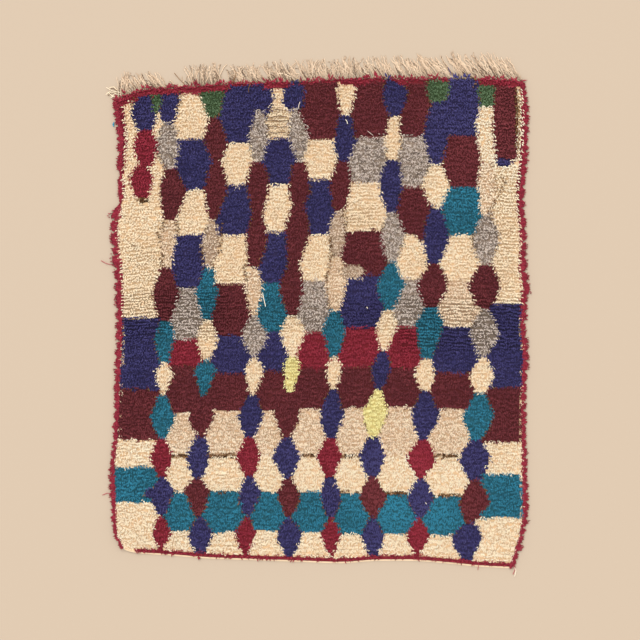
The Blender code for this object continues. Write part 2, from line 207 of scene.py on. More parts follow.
# Wide columns: what lies left of the first lozenges, between each two of them, and right of the last,
# each wool with the square that it starts at, and how ragged its start is
WIDE_COLUMNS = (
    (
        ("ivory", 60), ("navy", 318), ("oxblood", 390), ("ivory", 440), ("teal", 468), ("ivory", 502),
    ),
    (
        ("ivory", 60), ("navy", 139), ("ivory", 190), ("navy", 235), ("grey", 288), ("crimson", 340),
        ("oxblood", 366), ("oatmeal", 413), ("ivory", 457), ("teal", 492), ("ivory", 532),
    ),
    (
        ("navy", 60), ("ivory", 143), ("navy", 185), ("ivory", 235), ("oxblood", 284), ("navy", 336),
        ("oxblood", 374), ("oatmeal", 411), ("ivory", 457), ("teal", 492), ("ivory", 532),
    ),
    (
        ("ivory", 60), ("navy", 139), ("ivory", 185), ("navy", 233), ("teal", 283), ("navy", 333),
        ("oxblood", 372), ("oatmeal", 411), ("ivory", 457), ("teal", 492), ("ivory", 531),
    ),
    (
        ("oxblood", 60), ("ivory", 139), ("navy", 180), ("ivory", 235), ("grey", 281), ("crimson", 333),
        ("oxblood", 369), ("oatmeal", 409), ("ivory", 456), ("teal", 492), ("ivory", 532),
    ),
    (
        ("oxblood", 60), ("grey", 137), ("ivory", 183), ("oxblood", 231), ("navy", 276), ("crimson", 328),
        ("oxblood", 368), ("oatmeal", 408), ("ivory", 456), ("teal", 493), ("ivory", 535),
    ),
    (
        ("oxblood", 60), ("grey", 136), ("oxblood", 187), ("ivory", 234), ("grey", 279), ("crimson", 328),
        ("oxblood", 368), ("oatmeal", 407), ("ivory", 457), ("teal", 494), ("ivory", 535),
    ),
    (
        ("navy", 60), ("oxblood", 136), ("teal", 187), ("ivory", 235), ("oatmeal", 281), ("navy", 327),
        ("oxblood", 373), ("oatmeal", 409), ("ivory", 457), ("teal", 497), ("ivory", 536),
    ),
    (
        ("ivory", 60), ("navy", 304), ("oxblood", 388), ("ivory", 443), ("teal", 475), ("ivory", 518),
    ),
)
STRIP_RAGGED = 0.5

# Odd figures at the two upper corners, and stray patches
ODD_FIGURES = (
    Lozenge("navy", 86, 132, 144.5, 12.5, belly=0.6, neck=6),
    Lozenge("crimson", 130, 166, 145.5, 12, belly=0.45, neck=6),
    Lozenge("crimson", 166, 199, 141.5, 11.5, belly=0.4, neck=5),
    Lozenge("brown", 197, 204, 143, 4, neck=2),
    Lozenge("green", 86, 113, 156, 6, neck=2),
    Lozenge("oxblood", 70, 160, 506, 12.5, belly=0.6, neck=9),
    Lozenge("navy", 158, 167, 504, 7, neck=5),
    Lozenge("tan", 265, 278, 353, 13, neck=8),
    Lozenge("navy", 489, 499, 150, 6, neck=3),
    Lozenge("oxblood", 230, 243, 420.5, 4.5, belly=0.3, neck=1),
)

# Single brown yarn ends along wandering lines, each line a row of places
BROWN_LINES = (
    ((165.5, 221), (163, 226), (158, 231), (157, 241)),
    ((160.5, 252), (161.5, 260), (161.5, 268)),
    ((176.5, 221), (178, 228), (178, 236)),
    ((502, 175), (505, 184), (502, 191), (494, 202), (490, 214)),
    ((330, 267), (327.5, 275), (328, 285)),
    ((203, 246), (201, 252), (203, 264)),
    ((220.5, 224), (221.5, 240), (219, 258)),
    ((180, 92), (179, 110)),
    ((133, 96), (132, 108)),
    ((474.5, 80), (474, 90)),
    ((246, 262), (244, 272), (246, 282)),
    ((331, 236), (331.5, 250), (329, 262)),
    ((345, 212), (346.5, 225), (345, 236)),
    ((517, 88), (518, 110), (516.5, 150)),
    ((515.5, 96), (516, 138)),
)
BROWN_REACH = 0.75

# Brown knots between two strips of a wide column, and brown yarn ends round the lozenges
Seam = namedtuple("Seam", "column top chance")
SEAMS = (
    Seam(column=1, top=455, chance=0.9),
    Seam(column=2, top=455, chance=0.85),
    Seam(column=3, top=455, chance=0.45),
    Seam(column=4, top=455, chance=0.5),
    Seam(column=5, top=455, chance=0.45),
    Seam(column=7, top=455, chance=0.9),
    Seam(column=2, top=491, chance=0.3),
    Seam(column=5, top=492, chance=0.35),
    Seam(column=6, top=492, chance=0.8),
    Seam(column=7, top=495, chance=0.8),
)
SEAM_HEIGHT = 2.6
CONTOUR_FROM = 340
CONTOUR_CHANCE = 0.55
CONTOUR_CHANCE_ABOVE = 0.4
CONTOUR_CHANCE_LIGHT = 0.45

# Wools that fan out less than this count as dark. A lozenge grows where its neighbour's wool would hide it
DARK_FAN = 0.36
GROW = 2.6

# Where the wool is paler: the upper right corner, the lower end, and a worn patch, lower and more even too
FADE = 0.28
FADE_FROM = (400, 220)
FADE_OVER = 60
BRIGHT = 0.14
BRIGHT_FROM = 395
WORN_MIDDLE = (408, 492)
WORN_REACH = 70
WORN_CORE = 0.5
WORN_PALE = 0.17
WORN_EVEN = 0.8
WORN_LOW = 0.4

# Places where the rows have parted and the ground shows between them, painted darker there as painted shade
Parted = namedtuple("Parted", "left right top bottom depth")
PARTED_ROWS = (
    Parted(left=100, right=235, top=284, bottom=345, depth=0.85),
    Parted(left=225, right=405, top=296, bottom=338, depth=0.5),
    Parted(left=392, right=545, top=292, bottom=358, depth=0.9),
    Parted(left=262, right=294, top=98, bottom=142, depth=0.5),
    Parted(left=120, right=165, top=236, bottom=318, depth=0.45),
    Parted(left=340, right=380, top=200, bottom=232, depth=0.6),
    Parted(left=490, right=524, top=165, bottom=304, depth=0.45),
)
PARTED_EDGE = 12
PARTED_SHORT = 0.2
PARTED_STRAIGHT = 0.7
PARTED_SHADE = 0.45

# Ivory flecks next to the overcast sides
Fleck = namedtuple("Fleck", "side top bottom chance")
FLECKS = (
    Fleck(side="left", top=318, bottom=366, chance=0.6),
    Fleck(side="left", top=382, bottom=404, chance=0.4),
    Fleck(side="left", top=405, bottom=440, chance=0.15),
    Fleck(side="right", top=318, bottom=350, chance=0.5),
    Fleck(side="right", top=366, bottom=446, chance=0.6),
    Fleck(side="right", top=470, bottom=520, chance=0.55),
)
FLECK_WIDTH = 2.6

# Crimson knots inside both sides, as squares down the chart and widths
LEFT_EDGE = (
    (92, 8), (104, 7), (120, 5.5), (150, 4.6), (168, 3.6), (175, 1), (180, 1), (186, 3.2), (196, 2), (202, 0),
    (256, 0), (264, 1.6), (325, 1.4), (334, 0),
)
RIGHT_EDGE = (
    (92, 1.5), (220, 1.8), (240, 2.4), (262, 1.8), (290, 1.0), (300, 3.5), (311, 1.2), (330, 0),
)
# Crimson rows at both ends, as squares across the chart and heights
TOP_BAND = (
    (110, 9), (126, 9), (150, 7.5), (175, 7), (200, 8), (224, 6.5), (232, 4), (260, 3.2), (268, 7.5),
    (284, 7.5), (289, 5), (294, 0.5), (298, 0.5), (303, 4), (336, 4), (345, 6), (380, 5), (384, 1.5),
    (390, 1.5), (396, 5), (424, 5), (428, 2.4), (444, 2.4), (452, 1.5), (474, 1.5), (480, 6), (524, 7.5),
)
BOTTOM_BAND = ((133, 0), (135, 4.6), (520, 5.6))

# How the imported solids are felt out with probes, and how far off those start
END_WEIGHT = 0.6
FEEL_HEIGHTS = (1.5 * MM, 4.5 * MM, 8.0 * MM, 11.0 * MM)
FEEL_STEP = 10 * MM
PROBE_SIDEWAYS = 3
PROBE_UPRIGHT = 1

# The rows of knots, and how they wave
FIRST_ROW = 3 * MM
LAST_ROW = 1 * MM
ROW_WAVE = 2.0 * MM
ROW_WAVE_LENGTH = 56 * MM
ROW_RIPPLE = 0.5 * MM
ROW_RIPPLE_LENGTH = 20 * MM
SHOWN_SHIFT = 6.0 * MM
DRIFT_WAVES = 10
DRIFT_PACE = (0.7, 1.4)

# How far a yarn end's root is off its row: further in dark wools, in the close pile below and in loose wools
KNOT_JITTER = 0.3
KNOT_DEPTH = 0.7
KNOT_SHIFT = 1.6 * MM
DARK_SHIFT = 1.2
CLOSE = 0.5
CLOSE_FROM = 345
CLOSE_SHIFT = 1.1
LOOSE_SHIFT = 0.9
HEM_SHIFT = 0.7

# Which way the yarn ends lie, each pair across and up the rug
FAN_KNOTS = 4
FAN_ROWS = 3
FAN = np.array((1.05, 0.6))
LIE = np.array((0.0, -0.6))
LOCK = np.array((0.25, 0.14))
LOCK_LENGTHS = ((30 * MM, 15 * MM), (24 * MM, 24 * MM))
STRAY = np.array((1.5, 1.0))
SPLAY = 0.38
SPLAY_FAN = 0.5
SIDE_MOST = 0.66
FLATTEN = 0.25

# How far they reach, how high they stand and how thick they are
REACH_LIMITS = (0.4, 1.5)
FAR_SPREAD = 0.15
LOOSE_REACH = 0.4
LOOSE_THIN = 0.3
DROOP = 0.28
DROOP_MOST = 1.2
HEIGHT_SPREAD = 0.6 * MM
LEAST_RISE = 2 * MM
LIGHT_LIFT = 1.6 * MM
CONTOUR_LIFT = 2.2 * MM
THICKNESS_LIMITS = (0.85, 1.15)

# The upper rim, where they lie out over the edge, and the rows at the lower end
RIM_ROW = 22 * MM
RIM_WAVE = 30 * MM
RIM_LIE = 1.2
RIM_SWELL = 0.7
RIM_STRAY = 0.3
RIM_SPREAD = 0.5
RIM_THICK = 0.8
BARE_ROWS = 40 * MM
BARE_LIE = 0.15
HEM_ROWS = 15 * MM
HEM_LIE = (-0.95, 0.85)
HEM_THICK = 1.4

# The share of its unevenness that a yarn end has from its knot, and its shade
KNOT_SHARE = 0.8
KNOT_SHARE_SHADE = 0.35
PLAIN_SHADE = 0.5
SHADE_DRIFT = 0.06
SHADE_LENGTH = 160 * MM
SHADE_LIMITS = (0.02, 0.98)
UV_SPREAD = 0.012

# One yarn end, root to tip: how far out and up it is, and how thick, then a yarn's turn about its own
# middle, the triangles of one end and the most that a piece may have
YARN_END = ((0.0, 0.0, 0.0), (0.45, 1.0, 1.0), (1.0, 0.95, 0.0))
YARN_TURN = 0.25
LEAST_LENGTH = 1e-9
TUFT_SIDES = 3
TUFT_TRIANGLES = 6
MOST_TRIANGLES = 190000

# The woven ground: its colour differs at random, and where it shows between the tufts it is darker and
# warmer, partly its own brown warp and partly painted shade
GROUND_INSET = 0.004
GROUND_SHADE_TONES = (0.74, 0.92)
GROUND_TINT = (1.0, 0.92, 0.82)
HEM_COLOUR = (222, 198, 166)

# A turn of wool round a side, as shares of the binding's width and height, and the blocks that turns come in
TURN_ROUND_EDGE = ((-0.10, 0.70), (0.15, 1.00), (0.50, 1.10), (0.82, 0.86), (0.98, 0.46), (0.70, 0.08))
TURN_SIDES = 4
TURN_HEIGHT = 6.5 * MM
TURN_TUCK = 1.6
TURN_WIDTH = 0.85
TURN_SLANT = 1.6 * MM
TURN_SHADE = (0.40, 0.2)
# How light the binding's roots are painted: painted shade where its wool goes under
BINDING_ROOT_SHADE = 0.65
BLOCK_LENGTHS = (20 * MM, 38 * MM)
BLOCK_NOTCH = 0.74
BLOCK_SWELL = 1.5
BLOCK_SIZES = (0.85, 1.1)

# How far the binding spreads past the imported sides: squares down the chart, outwards and over the pile
SPREADS = {
    "left": (
        (98, 1.0, 1.5), (122, 1.5, 1.2), (140, 1.2, 1.0), (160, 1.5, 1.0), (180, 0.5, 1.0), (196, 0.5, 1.0),
        (206, 0.0, 0.0), (214, 2.0, 2.2), (226, 2.4, 0.8), (240, 1.2, 1.2), (258, 3.0, 1.0), (300, 2.2, 1.6),
        (322, 3.0, 1.2), (342, 2.2, 0.0), (362, 3.2, -0.6), (382, 2.6, -0.3), (402, 0.8, 0.8),
        (440, 1.4, -0.3), (500, 1.0, 0.3), (560, 0.7, 0.2),
    ),
    "right": (
        (90, 1.0, 1.3), (150, 1.4, 1.3), (180, 2.2, -1.0), (200, 1.2, 0.0), (240, 0.6, 2.4), (262, 1.4, 1.4),
        (288, 1.8, 0.0), (300, -0.4, 3.0), (322, 0.8, 1.5), (360, 1.0, 0.8), (400, -0.2, 1.6),
        (430, 1.0, 0.6), (500, 1.5, 0.2), (560, 2.0, 0.0),
    ),
}
# Where one block of turns gives way to the next, in chart squares: between and past these chance decides
NOTCHES = {
    "left": (152, 173, 204, 220, 231.5, 246, 254.5, 268, 281, 292, 310),
    "right": (165, 175, 186, 199, 208, 216, 228, 242, 250, 257, 272, 281, 296, 303, 312),
}

# Loose ends of the binding: places across it, with how far an end reaches there and how high it stands
EDGE_TUFTS = (0.0, 0.25, 0.5, 0.75, 1.0)
EDGE_REACH = ((0, 0.5, 1), (8.5, 8, 7))
EDGE_RISE = ((0, 0.5, 1), (5.0, 6.5, 3.5))
EDGE_REACH_LIMITS = (0.6, 1.4)
EDGE_JITTER = 0.08
EDGE_SHIFT = 1.5 * MM
EDGE_INSET = 6 * MM
EDGE_LIFT = 2 * MM
EDGE_LEAN = math.radians(105)
EDGE_LEAN_BACK = math.radians(15)
EDGE_LEAN_POWER = 0.7
EDGE_STRAY = math.radians(26)
EDGE_RADIUS = 2.0 * MM
EDGE_RADIUS_LIMITS = (0.8, 1.2)
EDGE_SHADE = (0.5, 0.24)

# The fringe: places along the rug's top from its middle, with the length of the warp ends there, both in
# millimetres, how far they lean in degrees, the share that are whole, and how far they stray in degrees
FRINGE_LIE = (
    (-684, 34, 50, 0.8, 26), (-662, 40, 30, 0.7, 16), (-655, 62, -8, 1.0, 5), (-636, 66, 2, 1.0, 5),
    (-622, 58, 14, 1.0, 5), (-612, 50, 26, 0.85, 7), (-550, 50, 34, 0.95, 5), (-500, 48, 34, 0.95, 5),
    (-492, 42, 36, 0.08, 10), (-428, 30, 30, 0.14, 16), (-418, 58, 12, 1.0, 11), (-318, 62, 8, 1.0, 11),
    (-310, 30, 14, 0.12, 16), (-284, 34, 16, 0.12, 16), (-276, 52, 26, 1.0, 13), (-180, 55, 31, 1.0, 13),
    (-120, 62, 29, 1.0, 13), (30, 59, 20, 1.0, 14), (180, 60, 25, 1.0, 10), (330, 73, 34, 1.0, 6),
    (600, 84, 38, 1.0, 5), (673, 74, 40, 1.0, 5),
)
FRINGE_STEPS = 14
FRINGE_SIDES = 3
FRINGE_BUNDLE = 3
FRINGE_INSET = 6 * MM
FRINGE_ROOTS = 6 * MM
FRINGE_LENGTHS = (-2.6, 0.8)
FRINGE_LENGTH_SPREAD = 0.2
FRINGE_BROKEN = 0.25
FRINGE_OWN_STRAY = 0.4
FRINGE_BEND = 1.3
FRINGE_OWN_BEND = math.radians(7)
FRINGE_STRAIGHT = 0.3
FRINGE_WAVE = math.radians(22)
FRINGE_WAVE_STRAY = 0.5
FRINGE_WAVES = 15
FRINGE_CURL = 2.4
FRINGE_THICKNESS = (0.75, 1.3)
FRINGE_TIP = 0.75
FRINGE_TIP_FROM = 0.9
FRINGE_LAYERS = 2.4 * MM
FRINGE_SINK = 0.6
FRINGE_SETTLE = 9
FRINGE_ROOT_LIFT = 3 * MM
# The warp ends' shade: lower layers are painted darker as painted shade under the upper ones
FRINGE_SHADE = 0.25
FRINGE_LAYER_SHADE = 0.23
FRINGE_SHADE_SPREAD = 0.1
# Short ends painted nearly the warp's deep colour: painted shadow between the warp ends near their roots
SHADOW_ENDS = 0.17
SHADOW_END_LENGTHS = (0.3, 0.7)
SHADOW_END_SHADE = 0.05
# Bands along each warp end for its plies: painted light and shade of the twist
PLIES = 40
PLY_SHADE = 0.2
WARP_LIGHT = (240, 217, 190)
WARP_DEEP = (70, 50, 38)
# How light the warp ends' roots are painted: painted shade at the rug's edge
WARP_ROOT_SHADE = 0.55

# Single threads that have worked loose, and dark brown lines of painted shade over parted rows,
# as places from end to end
Thread = namedtuple("Thread", "wool places thick shade", defaults=(1.0, 0.95))
THREADS = (
    Thread("ivory", ((262.6, 292.5), (263.6, 298), (265.6, 306.5))),
    Thread("ivory", ((366.6, 306.8), (367.6, 308.6))),
    Thread("ivory", ((425.4, 502.4), (426.4, 504))),
    Thread("ivory", ((513.5, 566), (516.4, 571), (515, 577))),
    Thread("brown", ((174, 72.5), (179, 78.5), (185, 84.5))),
    Thread("brown", ((231.5, 83), (235, 77), (236, 72), (234, 69))),
    Thread("brown", ((250.5, 84), (248.6, 88), (248.8, 92.5)), shade=0.6),
    Thread("navy", ((452.3, 78), (450.5, 71.5), (448.2, 66.5))),
    Thread("ivory", ((345.5, 119.5), (347, 121.5), (347.5, 124))),
    Thread("grey", ((367.5, 131), (370, 133), (373, 135.5)), thick=0.7),
    Thread("grey", ((298.6, 109), (298.8, 105.5), (300, 102)), thick=1.2, shade=0.55),
    Thread("grey", ((256.6, 116), (256, 113.5), (256.8, 110.8)), thick=1.2, shade=0.55),
    # Dark brown threads laid over the parted rows: painted shade of the gaps between the rows
    Thread("brown", ((267, 110), (272, 110.5), (277, 109.5), (283, 110.5)), thick=1.1, shade=0.25),
    Thread("brown", ((265, 116), (271, 117.5), (278, 116), (287, 117)), thick=1.1, shade=0.25),
    Thread("brown", ((265, 121), (272, 120), (279, 121.5), (289, 120.5)), thick=1.1, shade=0.25),
    Thread("brown", ((267, 127), (273, 126), (280, 127.5), (287, 126.5)), thick=1.1, shade=0.25),
    Thread("brown", ((270, 132.5), (276, 133.5), (281, 132), (286, 133)), thick=1.1, shade=0.25),
    Thread("crimson", ((113, 265), (106, 263.5), (100.5, 260.5))),
    Thread("crimson", ((111, 494), (106.5, 493.5), (102, 495.5))),
    Thread("crimson", ((478.3, 561), (478.7, 566), (478.2, 570.5))),
    Thread("crimson", ((512.5, 564), (515.5, 570), (513.3, 575))),
    Thread("teal", ((113.8, 122), (112.6, 124), (113.6, 126)), thick=2.2),
    Thread("brown", ((131.5, 246.8), (132.8, 244.6), (136, 247.2)), shade=0.6),
    Thread("ivory", ((119, 95.5), (113, 96.5), (107.5, 92)), shade=0.6),
    Thread("ivory", ((120, 92), (112, 90.5), (106, 87)), shade=0.7),
    Thread("ivory", ((117, 90), (113.5, 86.5), (109, 87)), shade=0.5),
    Thread("ivory", ((121, 94), (114, 93.5), (110.5, 97.5)), shade=0.7),
    Thread("ivory", ((116, 93), (109, 91.5), (105.5, 94)), shade=0.6),
    Thread("brown", ((118, 94), (111, 92), (107.5, 95.5)), shade=0.5, thick=0.8),
    Thread("brown", ((117, 91), (112, 87.5), (110, 89)), shade=0.4, thick=0.8),
)
THREAD_RADIUS = 1.0 * MM
THREAD_LIFT = 1.0 * MM
THREAD_LOW = 2 * MM
THREAD_STEPS = 9
THREAD_SIDES = 5

# Cloth: matt, its roots painted darker than its tips as painted shade deep in the pile,
# with a fine bump of fibres or of the knots' backs
CLOTH_SHEEN = 0.15
CLOTH_SHEEN_ROUGHNESS = 0.5
CLOTH_SPECULAR = 0.12
WOOL_ROUGHNESS = 0.92
WOOL_UPPER = 0.6
WOOL_UPPER_LIGHT = 0.97
FIBRE_SCALE = 900.0
FIBRE_DETAIL = 3.0
FUZZ_STRENGTH = 0.6
FUZZ_DEPTH = 0.6 * MM
GROUND_ROUGHNESS = 0.95
GROUND_SHEEN = (1.0, 0.9, 0.8)
BEAD_STRENGTH = 0.7
BEAD_DEPTH = 1.2 * MM

# How far up from the roots of their wool, painted dark as painted shade, the turns, the warp ends
# and the loose threads begin: a turn's painted shade is at both its ends, where it goes under the side
TURN_FROM = 0.75
WARP_FROM = 0.1
THREAD_FROM = 0.5

# Where the random numbers of each piece start
PILE_SEED = 7
GROUND_SEED = 5
BINDING_SEED = 3
FRINGE_SEED = 9

# The stage: the picture's side in chart squares, the camera's sensor, and the way to the main light
FRAME_SQUARES = 640
SENSOR = 36.0
VIEW_END = 100
CAMERA_LIFT = 12 * MM
FLOOR_HALF = 6.0
FLOOR_DROP = 0.2 * MM
FLOOR_ROUGHNESS = 0.8
KEY_FROM = (-0.25, 0.6, 1.1)
KEY_COLOUR = (1.0, 0.97, 0.93)
ROOM_COLOUR = (1.0, 0.98, 0.95, 1.0)


def linear(rgb):
    """A colour in 0 to 255 as the shader's own linear values."""
    shares = [value / 255 for value in rgb]
    return tuple(s / 12.92 if s <= 0.04045 else ((s + 0.055) / 1.055) ** 2.4 for s in shares)


class PileSettings(bpy.types.PropertyGroup):
    rows: IntProperty(name="Rows", description="Rows of knots from end to end", default=148, min=20)
    knots: IntProperty(name="Knots", description="Knots in a row", default=190, min=20)
    ends: IntProperty(name="Ends", description="Yarn ends of each knot", default=4, min=1)
    reach: FloatProperty(
        name="Reach", description="How far a yarn end lies over", default=14.0 * MM, unit="LENGTH"
    )
    radius: FloatProperty(
        name="Yarn radius", description="Half the thickness of a yarn end", default=1.9 * MM, unit="LENGTH"
    )
    stray: FloatProperty(
        name="Stray", description="How far yarn ends stray, as a share of their reach", default=0.16, min=0.0
    )
    hem: FloatProperty(
        name="Hem", description="Woven end that shows past the last row", default=5 * MM, unit="LENGTH"
    )


class GroundSettings(bpy.types.PropertyGroup):
    thickness: FloatProperty(
        name="Thickness", description="Thickness of the woven ground", default=3 * MM, unit="LENGTH"
    )
    columns: IntProperty(name="Columns", description="Cells across the ground", default=132, min=20)
    rows: IntProperty(name="Rows", description="Cells along the ground", default=149, min=20)


class BindingSettings(bpy.types.PropertyGroup):
    pitch: FloatProperty(
        name="Pitch", description="Distance between turns of wool", default=3.4 * MM, unit="LENGTH"
    )
    radius: FloatProperty(
        name="Yarn radius", description="Half the thickness of a turn", default=2.2 * MM, unit="LENGTH"
    )
    colour: FloatVectorProperty(
        name="Wool", description="Colour of the overcast wool", default=linear((146, 46, 62)), subtype="COLOR"
    )


class FringeSettings(bpy.types.PropertyGroup):
    ends: IntProperty(name="Ends", description="Warp ends across the top", default=780, min=10)
    radius: FloatProperty(
        name="Yarn radius", description="Half the thickness of a warp end", default=1.2 * MM, unit="LENGTH"
    )
    colour: FloatVectorProperty(
        name="Warp", description="Colour of the warp ends", default=linear((214, 186, 158)), subtype="COLOR"
    )


class StageSettings(bpy.types.PropertyGroup):
    floor: FloatVectorProperty(
        name="Floor", description="Colour of the floor", default=linear((180, 163, 144)), subtype="COLOR"
    )
    distance: FloatProperty(
        name="Camera height", description="Height of the camera over the rug", default=4.0, unit="LENGTH"
    )
    key: FloatProperty(name="Key light", description="Strength of the main light", default=2.1)
    softness: FloatProperty(
        name="Softness", description="How wide the main light is", default=math.radians(45), subtype="ANGLE"
    )
    fill: FloatProperty(name="Fill", description="Strength of the light from all round", default=1.05)


class Outline:
    """A flat piece's corners, rims and heights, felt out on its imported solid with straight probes."""

    def __init__(self, node):
        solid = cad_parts[node]
        self.tree = BVHTree.FromObject(solid, bpy.context.evaluated_depsgraph_get())
        self.low, self.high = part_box(node)
        flat = np.array([vertex.co[:2] for vertex in solid.data.vertices])
        self.corners = {}
        for side, end in ((-1, -1), (-1, 1), (1, -1), (1, 1)):
            self.corners[side, end] = flat[np.argmax(flat @ (side, END_WEIGHT * end))]
        self.left = self.feel((-1, -1), (-1, 1), Vector((1, 0, 0)))
        self.right = self.feel((1, -1), (1, 1), Vector((-1, 0, 0)))
        self.bottom = self.feel((-1, -1), (1, -1), Vector((0, 1, 0)))
        self.top = self.feel((-1, 1), (1, 1), Vector((0, -1, 0)))

    def feel(self, first, last, towards):
        """A rim from corner to corner: places along it, and where a probe from outside meets the solid."""
        across = 0 if towards.x else 1
        axis = 1 - across
        start, end = self.corners[first], self.corners[last]
        along, met = [start[axis]], [start[across]]
        steps = round((end[axis] - start[axis]) / FEEL_STEP)
        for place in np.linspace(start[axis], end[axis], steps)[1:-1]:
            hits = []
            for height in FEEL_HEIGHTS:
                origin = Vector((0, 0, height)) - PROBE_SIDEWAYS * towards
                origin[axis] = place
                hit = self.tree.ray_cast(origin, towards)[0]
                if hit is not None:
                    hits.append(hit[across])
            if hits:
                along.append(place)
                met.append(min(hits) if towards[across] > 0 else max(hits))
        return np.array(along + [end[axis]]), np.array(met + [end[across]])

    def place(self, u, v):
        """Places at fractions across and up the piece, drawn between its four rims."""
        low_left, low_right = self.corners[-1, -1], self.corners[1, -1]
        high_left, high_right = self.corners[-1, 1], self.corners[1, 1]
        left_y = low_left[1] + (high_left[1] - low_left[1]) * v
        right_y = low_right[1] + (high_right[1] - low_right[1]) * v
        bottom_x = low_left[0] + (low_right[0] - low_left[0]) * u
        top_x = high_left[0] + (high_right[0] - high_left[0]) * u
        sides_x = (1 - u) * np.interp(left_y, *self.left) + u * np.interp(right_y, *self.right)
        sides_y = (1 - u) * left_y + u * right_y
        ends_x = (1 - v) * bottom_x + v * top_x
        ends_y = (1 - v) * np.interp(bottom_x, *self.bottom) + v * np.interp(top_x, *self.top)
        low = (1 - u)[:, None] * low_left + u[:, None] * low_right
        high = (1 - u)[:, None] * high_left + u[:, None] * high_right
        square = (1 - v)[:, None] * low + v[:, None] * high
        return sides_x + ends_x - square[:, 0], sides_y + ends_y - square[:, 1]

    def heights(self, x, y):
        """The solid's lowest and highest surface at each place, nought off it."""
        lowest, highest = np.zeros(len(x)), np.zeros(len(x))
        for number, (at_x, at_y) in enumerate(zip(x, y)):
            under = self.tree.ray_cast(Vector((at_x, at_y, -PROBE_UPRIGHT)), Vector((0, 0, 1)))[0]
            over = self.tree.ray_cast(Vector((at_x, at_y, PROBE_UPRIGHT)), Vector((0, 0, -1)))[0]
            if under is not None and over is not None:
                lowest[number], highest[number] = under.z, over.z
        return lowest, highest


def from_middle(x, y):
    """Places in metres from the chart's middle, found from the rug's right side and its lowest end."""
    return x + SIDE_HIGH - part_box("selvedge_right")[1].x, y + GROUND_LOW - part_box("rug_body")[0].y


def chart_squares(x, y):
    """Chart squares of places in metres, across and down the chart."""
    right, up = from_middle(x, y)
    return MIDDLE_SQUARE[0] + right / SQUARE, MIDDLE_SQUARE[1] - up / SQUARE


def of_wools(wools, field):
    """One field of the table of wools for each of these wool numbers."""
    return np.array([getattr(WOOLS[name], field) for name in WOOL_ORDER])[wools]


def belly_square(cell):
    """The square down the chart where a lozenge is widest."""
    return cell.top + (cell.bottom - cell.top) * cell.belly


def paint_lozenge(numbers, cell, off_line, down):
    """Give a lozenge's knots its wool, and more of them beside a wool that fans out further."""
    belly = belly_square(cell)
    span = np.where(down < belly, belly - cell.top, cell.bottom - belly)
    off = np.clip(np.abs(down - belly) / span, 0, 1)
    half = cell.neck + (cell.half - cell.neck) * (1 - off**SWELL)
    half = half + GROW * (of_wools(numbers, "fan") - WOOLS[cell.wool].fan)
    inside_ends = (down >= cell.top) & (down < cell.bottom)
    numbers[inside_ends & (off_line < half)] = WOOL_ORDER.index(cell.wool)


def chart_wools(across, down, chance):
    """The number of the wool of each knot, for knots at these chart squares."""
    numbers = np.full(across.shape, IVORY)
    lines = []
    for column in NARROW_COLUMNS:
        bellies = [belly_square(cell) for cell in column]
        lines.append(np.interp(down, bellies, [cell.centre for cell in column]))
    which = sum((across > line).astype(int) for line in lines)
    ragged = down + chance.uniform(-STRIP_RAGGED, STRIP_RAGGED, across.shape)
    for number, strips in enumerate(WIDE_COLUMNS):
        names, tops = zip(*strips)
        wools = np.array([WOOL_ORDER.index(name) for name in names])
        here = which == number
        found = np.searchsorted(tops, ragged[here], side="right") - 1
        numbers[here] = wools[np.clip(found, 0, len(tops) - 1)]
    for seam in SEAMS:
        near = (which == seam.column) & (np.abs(down - seam.top - SEAM_HEIGHT / 2) < SEAM_HEIGHT / 2)
        numbers[near & (chance.random(across.shape) < seam.chance)] = BROWN
    for line, column in zip(lines, NARROW_COLUMNS):
        for cell in column:
            paint_lozenge(numbers, cell, np.abs(across - line), down)
    for cell in ODD_FIGURES:
        paint_lozenge(numbers, cell, np.abs(across - cell.centre), down)
    return numbers


def paint_borders(numbers, outline, x, y, across, down, chance):
    """Ivory flecks and crimson knots beside the overcast sides, and crimson rows at both ends."""
    from_left = (x - np.interp(y, *outline.left)) / SQUARE
    from_right = (np.interp(y, *outline.right) - x) / SQUARE
    for fleck in FLECKS:
        near = (from_left if fleck.side == "left" else from_right) < FLECK_WIDTH
        chosen = near & (down > fleck.top) & (down < fleck.bottom)
        numbers[chosen & (chance.random(x.shape) < fleck.chance)] = IVORY
    from_top = (np.interp(x, *outline.top) - y) / SQUARE
    from_bottom = (y - np.interp(x, *outline.bottom)) / SQUARE
    for off, along, stations in (
        (from_left, down, LEFT_EDGE),
        (from_right, down, RIGHT_EDGE),
        (from_top, across, TOP_BAND),
        (from_bottom, across, BOTTOM_BAND),
    ):
        numbers[off < np.interp(along, *zip(*stations))] = CRIMSON


def parted(across, down):
    """How far the rows have parted at chart squares: nought where the pile is close."""
    most = np.zeros(np.shape(down))
    for place in PARTED_ROWS:
        from_sides = np.minimum(across - place.left, place.right - across)
        inside = np.minimum(from_sides, np.minimum(down - place.top, place.bottom - down))
        most = np.maximum(most, place.depth * np.clip(inside / PARTED_EDGE, 0, 1))
    return most


def faded(across, down):
    """How much paler than usual the wool is: the sun has reached the upper right corner and the lower end."""
    right = np.clip((across - FADE_FROM[0]) / FADE_OVER, 0, 1)
    up = np.clip((FADE_FROM[1] - down) / FADE_OVER, 0, 1)
    below = np.clip((down - BRIGHT_FROM) / FADE_OVER, 0, 1)
    return FADE * right * up + BRIGHT * below


def worn(across, down):
    """How worn the pile is, 0 to 1: a patch near the lower end has been walked on most."""
    off = np.hypot(across - WORN_MIDDLE[0], down - WORN_MIDDLE[1]) / WORN_REACH
    return np.clip((1 - off) / (1 - WORN_CORE), 0, 1)


